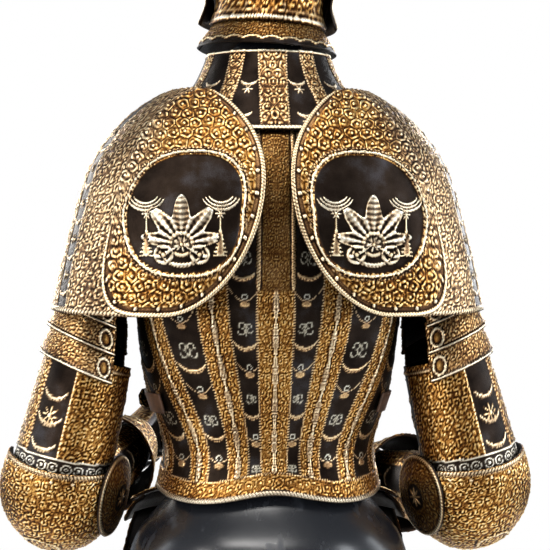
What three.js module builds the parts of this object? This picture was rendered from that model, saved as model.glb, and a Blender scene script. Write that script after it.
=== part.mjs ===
// A half suit of plate armour on a plain, limbless dress form.
// Millimetres. +Z is up, the wearer faces -Y, and the wearer's left is +X.
// The origin is the centre of the form's flat underside.

import * as THREE from 'three';

// ---------------------------------------------------------------- driving sizes

const WALL = 2;                 // thickness of every steel plate
const STRAP = 3;                // thickness of the leather straps
const GAP = 0.3;                // clearance where two pieces meet

const BODY_SQUARENESS = 2.3;    // 2 is an ellipse, more is squarer at the corners
const CLOAK_SQUARENESS = 2.4;

const FLANGE_FOOT = 392;        // lower edge of breastplate and backplate
const PLATE_TOP = 845;          // where the cuirass ends under the gorget

// Sections of the form, from its flat foot up to the neck.
const FORM = [
  { at: 0, side: 150, back: 122, front: 112 },
  { at: 130, side: 172, back: 142, front: 120 },
  { at: 260, side: 183, back: 152, front: 122 },
  { at: 334, side: 168, back: 136, front: 116 },
  { at: 392, side: 124, back: 96, front: 108 },
  { at: 450, side: 116, back: 82, front: 106 },
  { at: 600, side: 146, back: 104, front: 138 },
  { at: 740, side: 148, back: 108, front: 118 },
  { at: 820, side: 122, back: 88, front: 80 },
  { at: 868, side: 58, back: 54, front: 52 },
  { at: 900, side: 48, back: 48, front: 46 },
  { at: 945, side: 46, back: 46, front: 44 },
];
const FORM_CROWN = 24;          // height of the domed top of the form's neck

// Outer face of breastplate and backplate.
const TORSO = [
  { at: 392, side: 143, back: 114, front: 134 },
  { at: 415, side: 138, back: 106, front: 130 },
  { at: 450, side: 134, back: 99, front: 131 },
  { at: 490, side: 143, back: 105, front: 152 },
  { at: 526, side: 154, back: 112, front: 166 },
  { at: 600, side: 166, back: 124, front: 170 },
  { at: 680, side: 172, back: 131, front: 156 },
  { at: 760, side: 168, back: 132, front: 134 },
  { at: 820, side: 152, back: 121, front: 110 },
  { at: 850, side: 134, back: 108, front: 96 },
];

// The gorget's bell, from the shoulders in to the neck.
const BELL = [
  { at: 838, side: 152, back: 127, front: 120 },
  { at: 860, side: 132, back: 112, front: 106 },
  { at: 880, side: 116, back: 101, front: 98 },
  { at: 900, side: 98, back: 88, front: 88 },
  { at: 920, side: 87, back: 79, front: 80 },
  { at: 942, side: 78, back: 72, front: 74 },
];

// The envelope that both pauldrons lie on.
const CLOAK = [
  { at: 570, side: 276, back: 150, front: 170 },
  { at: 600, side: 270, back: 154, front: 170 },
  { at: 670, side: 257, back: 158, front: 166 },
  { at: 740, side: 240, back: 156, front: 158 },
  { at: 796, side: 223, back: 149, front: 146 },
  { at: 832, side: 201, back: 138, front: 134 },
  { at: 860, side: 176, back: 122, front: 120 },
  { at: 880, side: 150, back: 108, front: 106 },
  { at: 893, side: 128, back: 97, front: 96 },
];

// The skirt of fauld and tassets over the hips.
const SKIRT = [
  { at: 120, side: 188, back: 170, front: 166 },
  { at: 200, side: 192, back: 170, front: 170 },
  { at: 300, side: 190, back: 168, front: 168 },
  { at: 350, side: 184, back: 160, front: 162 },
  { at: 370, side: 177, back: 154, front: 156 },
  { at: 383, side: 160, back: 140, front: 144 },
  { at: 393, side: 135, back: 120, front: 125 },
  { at: 404, side: 127, back: 110, front: 118 },
];

// The helmet in its own frame, whose origin is at the pivots of the visor.
const SKULL = { side: 92, round: 112 };
const HELMET = [
  { at: -147, side: 74, back: 75, front: 96 },
  { at: -113, side: 67, back: 66, front: 92 },
  { at: -78, side: 80, back: 84, front: 101 },
  { at: -38, side: 90, back: 104, front: 110 },
  { at: 0, side: 92, back: 112, front: 112 },
];
const HELMET_PLACE = new THREE.Vector3(-8, -6, 1124);
const HELMET_YAW = -8;          // degrees, turned to the wearer's right
const HELMET_ROLL = -3;         // degrees, leaning to the wearer's right
const NECK_RIM = -145;          // lower rope of skull and bevor
const VISOR_PROUD = 13;         // visor's outer face over the skull
const BEVOR_PROUD = 9;

// The sleeve of arm plates: its line runs from shoulder to elbow to wrist.
const SHOULDER_POINT = new THREE.Vector3(167, 0, 800);
const ELBOW_POINT = new THREE.Vector3(272, 14, 374);
const ELBOW_BEND = 60;
const WRISTS = {
  left: new THREE.Vector3(176, -246, 420),
  right: new THREE.Vector3(172, -244, 376),
};
const HAND_LENGTH = 88;
const FINGER_CURL = 62;         // radius of the curled fingers
const FINGER_ANGLE = 82;        // degrees they curl through

// Half sizes of the sleeve. "at" is 0 to 1 down the upper arm, 1 to 2 round the
// elbow, 2 to 3 along the forearm, 3 to 4 along the hand, 4 to 5 round the fingers.
const SLEEVE = [
  { at: 0.3, across: 52, deep: 62 },
  { at: 0.6, across: 58, deep: 60 },
  { at: 0.8, across: 61, deep: 60 },
  { at: 1, across: 62, deep: 58 },
  { at: 1.5, across: 60, deep: 51 },
  { at: 2, across: 50, deep: 52 },
  { at: 2.4, across: 47, deep: 50 },
  { at: 2.8, across: 37, deep: 42 },
  { at: 3.05, across: 32, deep: 39 },
  { at: 4, across: 25, deep: 47 },
  { at: 5, across: 17, deep: 40 },
];

// ---------------------------------------------------------------- materials

const steel = (colour, roughness) => new THREE.MeshStandardMaterial({
  color: colour, roughness, metalness: 1, side: THREE.FrontSide,
});
const EMBOSSED = steel(0x6b5230, 0.38);
const DARK_STEEL = steel(0x33302e, 0.34);
const BRIGHT_STEEL = steel(0xb9b6ae, 0.3);
const LEATHER = new THREE.MeshStandardMaterial({ color: 0x3a2418, roughness: 0.7, metalness: 0 });
const LACQUER = new THREE.MeshStandardMaterial({ color: 0x0a0a0c, roughness: 0.2, metalness: 0 });

// ---------------------------------------------------------------- tables and sections

const rad = THREE.MathUtils.degToRad;
const mix = THREE.MathUtils.lerp;

/** Reads a table at one place: every column, smoothed by a cubic through its rows. */
function row(table, at) {
  let next = 1;
  while (next < table.length - 1 && at > table[next].at) next += 1;
  const [a, b] = [table[next - 1], table[next]];
  const before = table[Math.max(next - 2, 0)];
  const after = table[Math.min(next + 1, table.length - 1)];
  const span = b.at - a.at;
  const t = THREE.MathUtils.clamp((at - a.at) / span, 0, 1);
  const value = {};
  for (const column of Object.keys(a)) {
    const rise = (b[column] - before[column]) / (b.at - before.at) * span;
    const fall = (after[column] - a[column]) / (after.at - a.at) * span;
    value[column] = a[column] * (1 + 2 * t) * (1 - t) ** 2 + rise * t * (1 - t) ** 2
      + b[column] * (3 - 2 * t) * t ** 2 + fall * t ** 2 * (t - 1);
  }
  return value;
}

/** A point of a level section. Angle 0 is the front, 90 degrees the wearer's left. */
function around(table, height, angle, proud = 0, squareness = BODY_SQUARENESS) {
  const size = row(table, height);
  const depth = (Math.cos(angle) > 0 ? size.front : size.back) + proud;
  const across = Math.abs(Math.sin(angle)) / (size.side + proud);
  const along = Math.abs(Math.cos(angle)) / depth;
  const reach = (across ** squareness + along ** squareness) ** (-1 / squareness);
  return new THREE.Vector3(reach * Math.sin(angle), -reach * Math.cos(angle), height);
}

/** A point of the pauldrons' envelope, at a share of its half width, on its back (1) or front (-1). */
function onCloak(share, height, facing, proud) {
  const size = row(CLOAK, height);
  const depth = (facing > 0 ? size.back : size.front) + proud;
  const left = (1 - Math.abs(share) ** CLOAK_SQUARENESS) ** (1 / CLOAK_SQUARENESS);
  return new THREE.Vector3(share * (size.side + proud), facing * depth * left, height);
}

// ---------------------------------------------------------------- plates

/** The outward normal of surface(u, v), from its two slopes. */
function normalAt(surface, u, v, ring) {
  const step = 0.004;
  const low = (t) => Math.max(t - step, 0);
  const high = (t) => Math.min(t + step, 1);
  const [u0, u1] = ring ? [u - step, u + step] : [low(u), high(u)];
  const alongU = surface(u1, v).sub(surface(u0, v));
  const alongV = surface(u, high(v)).sub(surface(u, low(v)));
  return alongU.cross(alongV).normalize();
}

/**
 * A wall whose outer face is surface(u, v), with u across and v down the piece.
 * A ring closes on itself in u, and a pole shrinks its first row to one point.
 */
function plate(surface, { across, down, wall = WALL, ring = false, pole = false }) {
  const points = [];
  const index = [];
  const columns = ring ? across : across + 1;
  const corners = [];
  for (let j = 0; j <= down; j += 1) {
    corners.push([]);
    for (let i = 0; i < columns; i += 1) {
      if (pole && j === 0 && i > 0) {
        corners[0].push(corners[0][0]);
        continue;
      }
      const [u, v] = [i / across, j / down];
      const outer = surface(u, v);
      const normal = normalAt(surface, u, pole && j === 0 ? 0.01 : v, ring);
      if (pole && j === 0) {
        normal.add(normalAt(surface, 0.5, 0.01, ring)).normalize();
      }
      corners[j].push(points.length);
      points.push(outer, outer.clone().addScaledVector(normal, -wall));
    }
  }
  const face = (...loop) => {
    for (let k = 2; k < loop.length; k += 1) {
      const triangle = [loop[0], loop[k - 1], loop[k]];
      if (new Set(triangle).size === 3) index.push(...triangle);
    }
  };
  const at = (j, i, inner = 0) => corners[j][i % columns] + inner;
  for (let i = 0; i < across; i += 1) {
    for (let j = 0; j < down; j += 1) {
      face(at(j, i), at(j, i + 1), at(j + 1, i + 1), at(j + 1, i));
      face(at(j, i, 1), at(j + 1, i, 1), at(j + 1, i + 1, 1), at(j, i + 1, 1));
    }
    face(at(down, i), at(down, i + 1), at(down, i + 1, 1), at(down, i, 1));
    if (!pole) face(at(0, i + 1), at(0, i), at(0, i, 1), at(0, i + 1, 1));
  }
  for (let j = 0; j < down && !ring; j += 1) {
    face(at(j, 0), at(j + 1, 0), at(j + 1, 0, 1), at(j, 0, 1));
    face(at(j + 1, across), at(j, across), at(j, across, 1), at(j + 1, across, 1));
  }
  return solid(points, index);
}

function solid(points, index) {
  const geometry = new THREE.BufferGeometry();
  geometry.setFromPoints(points);
  geometry.setIndex(index);
  return geometry;
}

/** The same piece for the other side of the body. */
function mirrored(geometry) {
  const copy = geometry.clone().scale(-1, 1, 1);
  const index = Array.from(copy.getIndex().array);
  for (let k = 0; k < index.length; k += 3) {
    [index[k], index[k + 1]] = [index[k + 1], index[k]];
  }
  copy.setIndex(index);
  return copy;
}

const suit = new THREE.Group();

function add(name, geometry, material, parent = suit) {
  const mesh = new THREE.Mesh(geometry, material);
  mesh.name = name;
  parent.add(mesh);
  return mesh;
}

const SIDES = ['left', 'right'];
const sided = (side, geometry) => (side === 'left' ? geometry : mirrored(geometry));

// ---------------------------------------------------------------- dress form

/** Stacked level sections under a domed neck, closed by a flat foot. */
function dressForm() {
  const [spokes, levels, domeRows] = [24, 17, 3];
  const neck = FORM[FORM.length - 1];
  const points = [new THREE.Vector3(0, 0, 0)];
  const index = [];
  const ringOf = (height, shrink) => {
    for (let i = 0; i < spokes; i += 1) {
      const point = around(FORM, Math.min(height, neck.at), rad(i / spokes * 360));
      points.push(new THREE.Vector3(point.x * shrink, point.y * shrink, height));
    }
  };
  for (let j = 0; j <= levels; j += 1) ringOf(neck.at * j / levels, 1);
  for (let j = 1; j < domeRows; j += 1) {
    const rise = rad(90 * j / domeRows);
    ringOf(neck.at + FORM_CROWN * Math.sin(rise), Math.cos(rise));
  }
  points.push(new THREE.Vector3(0, 0, neck.at + FORM_CROWN));
  const rings = levels + domeRows;
  const at = (j, i) => 1 + j * spokes + i % spokes;
  for (let i = 0; i < spokes; i += 1) {
    index.push(0, at(0, i + 1), at(0, i));
    for (let j = 0; j < rings - 1; j += 1) {
      index.push(at(j, i), at(j, i + 1), at(j + 1, i + 1));
      index.push(at(j, i), at(j + 1, i + 1), at(j + 1, i));
    }
    index.push(at(rings - 1, i), at(rings - 1, i + 1), points.length - 1);
  }
  return solid(points, index);
}

add('form', dressForm(), LACQUER);

// ---------------------------------------------------------------- cuirass

const ARMHOLE = { foot: 610, head: 720, reach: 90, back: 57, front: 60 };
const SIDE_SEAM = 0.2;          // degrees that each plate stops short of the side

/** How far round from its own centre line a body plate reaches, in degrees. */
function bodyReach(height, narrow) {
  const open = THREE.MathUtils.smoothstep(height, ARMHOLE.foot, ARMHOLE.head);
  return mix(ARMHOLE.reach - SIDE_SEAM, narrow, open);
}

function backplate(u, v) {
  const wave = 6 * Math.cos(rad((u - 0.5) * 4 * 180)) * (1 - v) ** 8;
  const height = mix(FLANGE_FOOT, PLATE_TOP, v) + wave;
  const angle = 180 + mix(-1, 1, u) * bodyReach(height, ARMHOLE.back);
  const spine = 5 * Math.exp(-(((u - 0.5) / 0.16) ** 2)) * v;
  const point = around(TORSO, height, rad(angle));
  return point.add(new THREE.Vector3(0, -spine, 0));
}

function breastplate(u, v) {
  const neckline = 34 * Math.cos(rad((u - 0.5) * 180)) ** 2 * v ** 3;
  const height = mix(FLANGE_FOOT, PLATE_TOP, v) - neckline;
  const angle = mix(-1, 1, u) * bodyReach(height, ARMHOLE.front);
  const ridge = 9 * Math.exp(-(Math.abs((u - 0.5) / 0.12) ** 1.4)) * Math.sin(rad(180 * v ** 0.7));
  return around(TORSO, height, rad(angle)).add(new THREE.Vector3(0, -ridge, 0));
}

add('backplate', plate(backplate, { across: 14, down: 11 }), EMBOSSED);
add('breastplate', plate(breastplate, { across: 14, down: 11 }), EMBOSSED);

const STRAP_HEIGHT = 505;
const STRAP_WIDTH = 24;
const sideStrap = (u, v) => around(
  TORSO, STRAP_HEIGHT + STRAP_WIDTH * (v - 0.5), rad(mix(68, 114, u)), STRAP + 2.5,
);
for (const side of SIDES) {
  const strap = plate(sideStrap, { across: 5, down: 1, wall: STRAP });
  add(`side_strap_${side}`, sided(side, strap), LEATHER);
}

// ---------------------------------------------------------------- gorget

const gorget = (middle, reach) => (u, v) => {
  const height = mix(BELL[0].at, BELL[BELL.length - 1].at, v);
  return around(BELL, height, rad(middle + mix(-reach, reach, u)));
};
add('gorget_back', plate(gorget(180, 89.6), { across: 12, down: 5 }), DARK_STEEL);
add('gorget_front', plate(gorget(0, 89.6), { across: 12, down: 5 }), DARK_STEEL);

// ---------------------------------------------------------------- fauld and tassets

/** One lame of the skirt: its lower edge stands proud of the next lame's upper edge. */
const skirtLame = (top, foot, from, to, lift = 0) => (u, v) => around(
  SKIRT, mix(foot, top, v), rad(mix(from, to, u)), lift + mix(5, -3, v),
);
const FAULD = [{ top: 402, foot: 373, lift: 0 }, { top: 379, foot: 346, lift: -2 }];
const FAULD_REACH = 76;         // degrees round from the front
FAULD.forEach(({ top, foot, lift }, i) => {
  const lame = plate(skirtLame(top, foot, -FAULD_REACH, FAULD_REACH, lift), { across: 16, down: i ? 1 : 3 });
  add(`fauld_${i + 1}`, lame, EMBOSSED);
});

const TASSET = { top: 356, foot: 132, lames: 4, overlap: 10, inner: 7, outer: 73, taper: 2.5 };
for (const side of SIDES) {
  const pitch = (TASSET.top - TASSET.foot) / TASSET.lames;
  for (let i = 0; i < TASSET.lames; i += 1) {
    const top = TASSET.top - pitch * i + (i ? TASSET.overlap : 0);
    const foot = TASSET.top - pitch * (i + 1);
    const surface = skirtLame(
      top, foot, TASSET.inner + TASSET.taper * i, TASSET.outer - TASSET.taper * i, i ? 0 : -3,
    );
    add(`tasset_${side}_${i + 1}`, sided(side, plate(surface, { across: 8, down: 1 })), EMBOSSED);
  }
}

// ---------------------------------------------------------------- helmet

const helmet = new THREE.Group();
helmet.position.copy(HELMET_PLACE);
helmet.rotation.set(0, rad(HELMET_ROLL), rad(HELMET_YAW), 'ZYX');
suit.add(helmet);

/**
 * A point of the helmet. Fall is 0 at the crown and 90 at the visor's pivots, and
 * past that the plate drops straight down the neck at the same pace.
 */
function onHelmet(angle, fall, proud = 0) {
  const pace = SKULL.round * rad(1);
  const below = fall > 90;
  const height = below ? -(fall - 90) * pace : (SKULL.round + proud) * Math.cos(rad(fall));
  const size = row(HELMET, Math.min(height, 0));
  const shrink = below ? 1 : Math.sin(rad(fall));
  const depth = (Math.cos(angle) > 0 ? size.front : size.back) + proud;
  return new THREE.Vector3(
    (size.side + proud) * Math.sin(angle) * shrink, -depth * Math.cos(angle) * shrink, height,
  );
}
const fallOf = (height) => 90 - height / (SKULL.round * rad(1));

const BROW_FALL = 72;
const COMB = { back: 14, front: 5, width: 8, gather: 0.22 };

/** The skull, from the crown down to the brow in front and to the rope at the neck. */
function skull(u, v) {
  const even = 2 * Math.PI * (1 - u);
  const angle = even - COMB.gather * Math.sin(2 * even);
  const open = THREE.MathUtils.smoothstep(-Math.cos(angle), -0.46, -0.06);
  const point = onHelmet(angle, v * mix(BROW_FALL, fallOf(NECK_RIM), open));
  const backward = THREE.MathUtils.smoothstep(point.y, -70, 30);
  const low = THREE.MathUtils.smoothstep(point.z, -70, 0);
  const comb = mix(COMB.front, COMB.back, backward) * low
    * Math.exp(-((point.x / COMB.width) ** 2));
  return point.addScaledVector(new THREE.Vector3(0, point.y, point.z).normalize(), comb);
}
add('helmet_skull', plate(skull, { across: 28, down: 9, ring: true, pole: true }), EMBOSSED, helmet);

/** The bevor, which laps over the skull's sides and stands a little prouder there. */
const bevor = (u, v) => onHelmet(
  rad(mix(-98, 98, u)), mix(fallOf(NECK_RIM), fallOf(-38), v),
  BEVOR_PROUD + 7 * (2 * u - 1) ** 4 * (1 - v),
);
add('helmet_bevor', plate(bevor, { across: 14, down: 4 }), EMBOSSED, helmet);

/** The visor, drawn out into a blunt prow below the sights. */
function visor(u, v) {
  const point = onHelmet(rad(mix(-99, 99, u)), mix(fallOf(-52), 68, v), VISOR_PROUD);
  const prow = 24 * Math.exp(-(((u - 0.5) / 0.2) ** 2)) * Math.sin(rad(180 * Math.min(v * 1.1, 1)));
  return point.add(new THREE.Vector3(0, -prow, 0));
}
add('helmet_visor', plate(visor, { across: 14, down: 5 }), EMBOSSED, helmet);

/** A short round pin or head on the visor's axis, from one distance out to another. */
function onAxis(radius, from, to) {
  const length = to - from;
  return new THREE.CylinderGeometry(radius, radius, length, 12)
    .rotateZ(-Math.PI / 2).translate(from + length / 2, 0, 0);
}
for (const side of SIDES) {
  const pin = onAxis(4, SKULL.side + GAP, SKULL.side + VISOR_PROUD - WALL - 2);
  const rosette = onAxis(12, SKULL.side + VISOR_PROUD + GAP, SKULL.side + VISOR_PROUD + 6);
  add(`visor_pin_${side}`, sided(side, pin), BRIGHT_STEEL, helmet);
  add(`visor_rosette_${side}`, sided(side, rosette), BRIGHT_STEEL, helmet);
}

/** The lame under the helmet's rope: a short flaring ring in two halves. */
const neckLame = (middle) => (u, v) => {
  const angle = rad(middle + mix(-89, 89, u));
  const point = onHelmet(angle, fallOf(NECK_RIM), mix(16, -10, v));
  return point.add(new THREE.Vector3(0, 0, mix(-30, 8, v)));
};
add('neck_lame_back', plate(neckLame(180), { across: 8, down: 2 }), DARK_STEEL, helmet);
add('neck_lame_front', plate(neckLame(0), { across: 8, down: 2 }), DARK_STEEL, helmet);

// ---------------------------------------------------------------- pauldrons

// Each wing reaches from its middle inwards, outwards, up and down. The middle and the
// first two are shares of the cloak's half width, and its top leans outwards.
const WING_BACK = {
  middle: 0.476, inwards: 0.417, outwards: 0.3, z: 775, up: 115, down: 161, lean: 0.13, facing: 1,
};
const WING_FRONT = {
  middle: 0.56, inwards: 0.34, outwards: 0.34, z: 764, up: 104, down: 104, lean: 0.1, facing: -1,
};
const WING_PROUD = { edge: 12, seam: 8.2 };     // over the cloak; the seam is over the cap
const CORNER = { top: 2.2, inner: 1.8, outer: 5 };      // squareness; the outer lower one is squarest
const CAP = { foot: 614, head: 893, from: 44, to: 134, rise: 40, proud: 4 };

/** A rounded plate on the cloak, from its middle (v = 0) out to its roped edge. */
const wing = ({ middle, inwards, outwards, z, up, down, lean, facing }) => (u, v) => {
  const turn = rad(360 * u) * facing;
  const [across, rising] = [Math.cos(turn), Math.sin(turn)];
  const low = across > 0 ? CORNER.outer : CORNER.inner;
  const square = rising > 0 ? CORNER.top : low;
  const reach = v * (Math.abs(across) ** square + Math.abs(rising) ** square) ** (-1 / square);
  const rise = reach * rising;
  const share = middle + (across > 0 ? outwards : inwards) * reach * across
    + lean * Math.max(rise, 0) ** 3;
  const seam = THREE.MathUtils.smoothstep(reach * (across + rising), 0.3, 1.1);
  const proud = mix(WING_PROUD.edge, WING_PROUD.seam, seam);
  return onCloak(share, z + (rising > 0 ? up : down) * rise, facing, proud);
};

/** The shoulder cap: its lower edge hangs lowest at the back of the arm. */
function cap(u, v) {
  const foot = CAP.foot + CAP.rise * (1 - u) ** 2;
  const angle = rad(mix(CAP.from, CAP.to, u));
  const proud = CAP.proud + 2 * (1 - v) ** 2;
  return around(CLOAK, mix(foot, CAP.head, v), angle, proud, CLOAK_SQUARENESS);
}

// ---------------------------------------------------------------- arms

/** The middle line of one sleeve: point, direction, and its elbow and outer sides. */
function armLine(wrist) {
  const down = ELBOW_POINT.clone().sub(SHOULDER_POINT).normalize();
  const fore = wrist.clone().sub(ELBOW_POINT).normalize();
  const outer = down.clone().cross(fore).normalize();
  if (outer.x < 0) outer.negate();
  const bendIn = ELBOW_POINT.clone().addScaledVector(down, -ELBOW_BEND);
  const bendOut = ELBOW_POINT.clone().addScaledVector(fore, ELBOW_BEND);
  const bend = new THREE.QuadraticBezierCurve3(bendIn, ELBOW_POINT, bendOut);
  const palm = wrist.clone().addScaledVector(fore, HAND_LENGTH);
  return (t) => {
    let middle;
    let way = fore;
    let side = outer;
    if (t < 1) {
      middle = SHOULDER_POINT.clone().lerp(bendIn, t);
      way = down;
    } else if (t < 2) {
      middle = bend.getPoint(t - 1);
      way = bend.getTangent(t - 1);
    } else if (t < 3) {
      middle = bendOut.clone().lerp(wrist, t - 2);
    } else if (t < 4) {
      middle = wrist.clone().lerp(palm, t - 3);
    } else {
      const turn = rad(FINGER_ANGLE) * (t - 4);
      middle = palm.clone().addScaledVector(fore, FINGER_CURL * Math.sin(turn))
        .addScaledVector(outer, FINGER_CURL * (Math.cos(turn) - 1));
      way = fore.clone().multiplyScalar(Math.cos(turn)).addScaledVector(outer, -Math.sin(turn));
      side = outer.clone().multiplyScalar(Math.cos(turn)).addScaledVector(fore, Math.sin(turn));
    }
    const elbow = side.clone().cross(way).normalize();
    return { middle, way, side, elbow: elbow.y > 0 || elbow.z < 0 ? elbow : elbow.negate() };
  };
}

/** A point of the sleeve: angle 0 is its elbow side, 90 degrees its outer side. */
function onSleeve(line, t, angle, proud) {
  const { middle, side, elbow } = line(t);
  const size = row(SLEEVE, t);
  return middle.clone()
    .addScaledVector(elbow, (size.deep + proud) * Math.cos(angle))
    .addScaledVector(side, (size.across + proud) * Math.sin(angle));
}

/** A plate of the sleeve between two places and two angles, its edges lifted by proud. */
const sleevePlate = (line, { from, to, start = 0, end = 360, proud, slant = 0 }) => (u, v) => {
  const angle = rad(mix(end, start, u));
  const t = mix(from, to, v) - slant * Math.sin(angle);
  return onSleeve(line, t, angle, mix(proud[0], proud[1], v));
};

const PAULDRON_LAMES = [
  { from: 0.43, to: 0.52, start: -44, end: 202, proud: [-15, -3], slant: 0.03 },
  { from: 0.5, to: 0.605, start: -48, end: 208, proud: [-9.5, 1], slant: 0.03 },
  { from: 0.585, to: 0.695, start: -52, end: 212, proud: [-7, 1], slant: 0.03 },
];
const UPPER_CANNON = { from: 0.655, to: 1.12, proud: [-7, -1] };
const LOWER_CANNON = { from: 2.12, to: 2.97, proud: [-4, -4] };
const CUFF = { from: 2.6, to: 3.02, proud: [20, 2] };
const COUTER = { from: 0.97, to: 2.14, dip: 0.1, reach: 118, proud: 5, bulge: 11 };
const HAND = { from: 3.05, to: 4.02, start: -38, end: 218, proud: [-1, 1] };
const FINGERS = [
  { from: 3.98, to: 4.5, start: -34, end: 214, proud: [-4, 0.5] },
  { from: 4.44, to: 5, start: -30, end: 210, proud: [-4, 0] },
];

/** The elbow cop: it swells in the middle, and its upper edge dips at the back of the elbow. */
const couter = (line) => (u, v) => {
  const swell = Math.sin(rad(180 * v));
  const angle = rad(mix(1, -1, u) * COUTER.reach * (0.72 + 0.28 * swell));
  const t = mix(COUTER.from + COUTER.dip * Math.cos(angle / 2) ** 4, COUTER.to, v);
  return onSleeve(line, t, angle, COUTER.proud + COUTER.bulge * swell * Math.cos(angle / 2) ** 2);
};

/** The shallow oval wing on the inner side of the elbow. */
const couterWing = (line) => (u, v) => {
  const { middle, way, side, elbow } = line(1.5);
  const turn = rad(360 * (1 - u));
  return middle.clone().addScaledVector(side, -68 - 10 * (1 - v * v))
    .addScaledVector(elbow, -14 + 50 * v * Math.cos(turn))
    .addScaledVector(way, 58 * v * Math.sin(turn));
};

const THUMB = { at: 3.35, length: 62, radius: 14 };

/** The thumb's steel stall, a blunt closed cone along the top of the hand. */
const thumb = (line) => (u, v) => {
  const { middle, way, side, elbow } = line(THUMB.at);
  const turn = rad(360 * u);
  const lean = way.clone().multiplyScalar(0.9).addScaledVector(side, -0.42).normalize();
  const lift = elbow.clone().negate();
  const out = lean.clone().cross(lift).normalize();
  const width = THUMB.radius * Math.sin(rad(90 * Math.min(v * 1.6, 1)));
  return middle.clone().addScaledVector(lift, row(SLEEVE, THUMB.at).deep + 23)
    .addScaledVector(lean, THUMB.length * (1 - v))
    .addScaledVector(lift, width * Math.cos(turn)).addScaledVector(out, width * Math.sin(turn));
};

for (const side of SIDES) {
  const line = armLine(WRISTS[side]);
  const put = (name, surface, grid, material) => add(
    name.replace('SIDE', side), sided(side, plate(surface, grid)), material,
  );
  put('wing_back_SIDE', wing(WING_BACK), { across: 20, down: 4, ring: true, pole: true }, EMBOSSED);
  put('wing_front_SIDE', wing(WING_FRONT), { across: 16, down: 2, ring: true, pole: true }, EMBOSSED);
  put('pauldron_cap_SIDE', cap, { across: 8, down: 7 }, EMBOSSED);
  PAULDRON_LAMES.forEach((lame, i) => {
    put(`pauldron_lame_SIDE_${i + 1}`, sleevePlate(line, lame), { across: 10, down: 1 }, EMBOSSED);
  });
  const tube = { across: 14, down: 2, ring: true };
  put('upper_cannon_SIDE', sleevePlate(line, UPPER_CANNON), tube, EMBOSSED);
  put('couter_SIDE', couter(line), { across: 8, down: 7 }, EMBOSSED);
  put('couter_wing_SIDE', couterWing(line), { across: 12, down: 2, ring: true, pole: true }, DARK_STEEL);
  put('lower_cannon_SIDE', sleevePlate(line, LOWER_CANNON), tube, EMBOSSED);
  put('gauntlet_cuff_SIDE', sleevePlate(line, CUFF), tube, EMBOSSED);
  put('gauntlet_hand_SIDE', sleevePlate(line, HAND), { across: 8, down: 2 }, DARK_STEEL);
  FINGERS.forEach((lame, i) => {
    put(`gauntlet_fingers_SIDE_${i + 1}`, sleevePlate(line, lame), { across: 8, down: 2 }, DARK_STEEL);
  });
  put('gauntlet_thumb_SIDE', thumb(line), { across: 8, down: 4, ring: true, pole: true }, DARK_STEEL);
}

export default suit;
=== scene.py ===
"""A half suit of embossed, partly gilt plate armour on a plain black dress form.

Every piece is a surface of two parameters, worked out in millimetres as whole numpy
arrays. The plates keep the outer faces that the solid ones have. The chased relief is
a height over them, and how far each point is gilt, silvered or sunk is kept in
attributes that the steel's finish reads: it paints the sunk points dark, as patina and
as painted shade, and the proud ones bright, as rubbed wear and as painted highlight.
"""
import math

import bpy
import numpy as np
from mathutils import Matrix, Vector


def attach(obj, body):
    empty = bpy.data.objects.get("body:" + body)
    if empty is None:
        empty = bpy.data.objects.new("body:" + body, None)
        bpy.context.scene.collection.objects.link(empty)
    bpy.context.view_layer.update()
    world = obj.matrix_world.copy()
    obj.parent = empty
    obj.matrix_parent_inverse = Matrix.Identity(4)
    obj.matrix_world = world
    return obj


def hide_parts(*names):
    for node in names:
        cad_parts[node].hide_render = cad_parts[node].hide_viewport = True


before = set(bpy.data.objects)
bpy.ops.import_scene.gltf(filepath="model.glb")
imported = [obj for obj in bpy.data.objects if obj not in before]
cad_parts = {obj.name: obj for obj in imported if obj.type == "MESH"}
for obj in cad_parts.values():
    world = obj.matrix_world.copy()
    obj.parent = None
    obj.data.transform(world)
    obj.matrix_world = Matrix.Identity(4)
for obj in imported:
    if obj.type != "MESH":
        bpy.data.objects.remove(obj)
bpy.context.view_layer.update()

# ---------------------------------------------------------------- camera, light and floor
# A pale round floor under the form, and a plain white studio: tall soft boxes all
# round, one overhead, and a white ground that the camera sees behind the suit.

VIEW_TURN = math.radians(4.5)   # the suit's back is seen a little from its left
VIEW_DISTANCE = 2.02
VIEW_MIDDLE = (-0.009, 0, 0.664)
VIEW_WIDTH = 0.66               # width of the view at the wearer's back
BACK_PLANE = 0.12

camera = bpy.data.objects.new("camera", bpy.data.cameras.new("camera"))
camera.location = Vector(VIEW_MIDDLE) + VIEW_DISTANCE * Vector(
    (math.sin(VIEW_TURN), math.cos(VIEW_TURN), 0))
camera.rotation_euler = (math.pi / 2, 0, math.pi - VIEW_TURN)
camera.data.sensor_width = 36
camera.data.lens = 36 * (VIEW_DISTANCE - BACK_PLANE) / VIEW_WIDTH
bpy.context.scene.collection.objects.link(camera)
bpy.context.scene.camera = camera


def soft_box(name, place, size, watts, tint):
    """A rectangular area light at a place, facing the middle of the suit."""
    light = bpy.data.lights.new(name, "AREA")
    light.shape = "RECTANGLE"
    light.size, light.size_y = size
    light.energy, light.color = watts, tint
    lamp = bpy.data.objects.new(name, light)
    lamp.location = place
    aim = Vector((0, 0, 0.72)) - Vector(place)
    lamp.rotation_euler = aim.to_track_quat("-Z", "Y").to_euler()
    bpy.context.scene.collection.objects.link(lamp)


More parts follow.
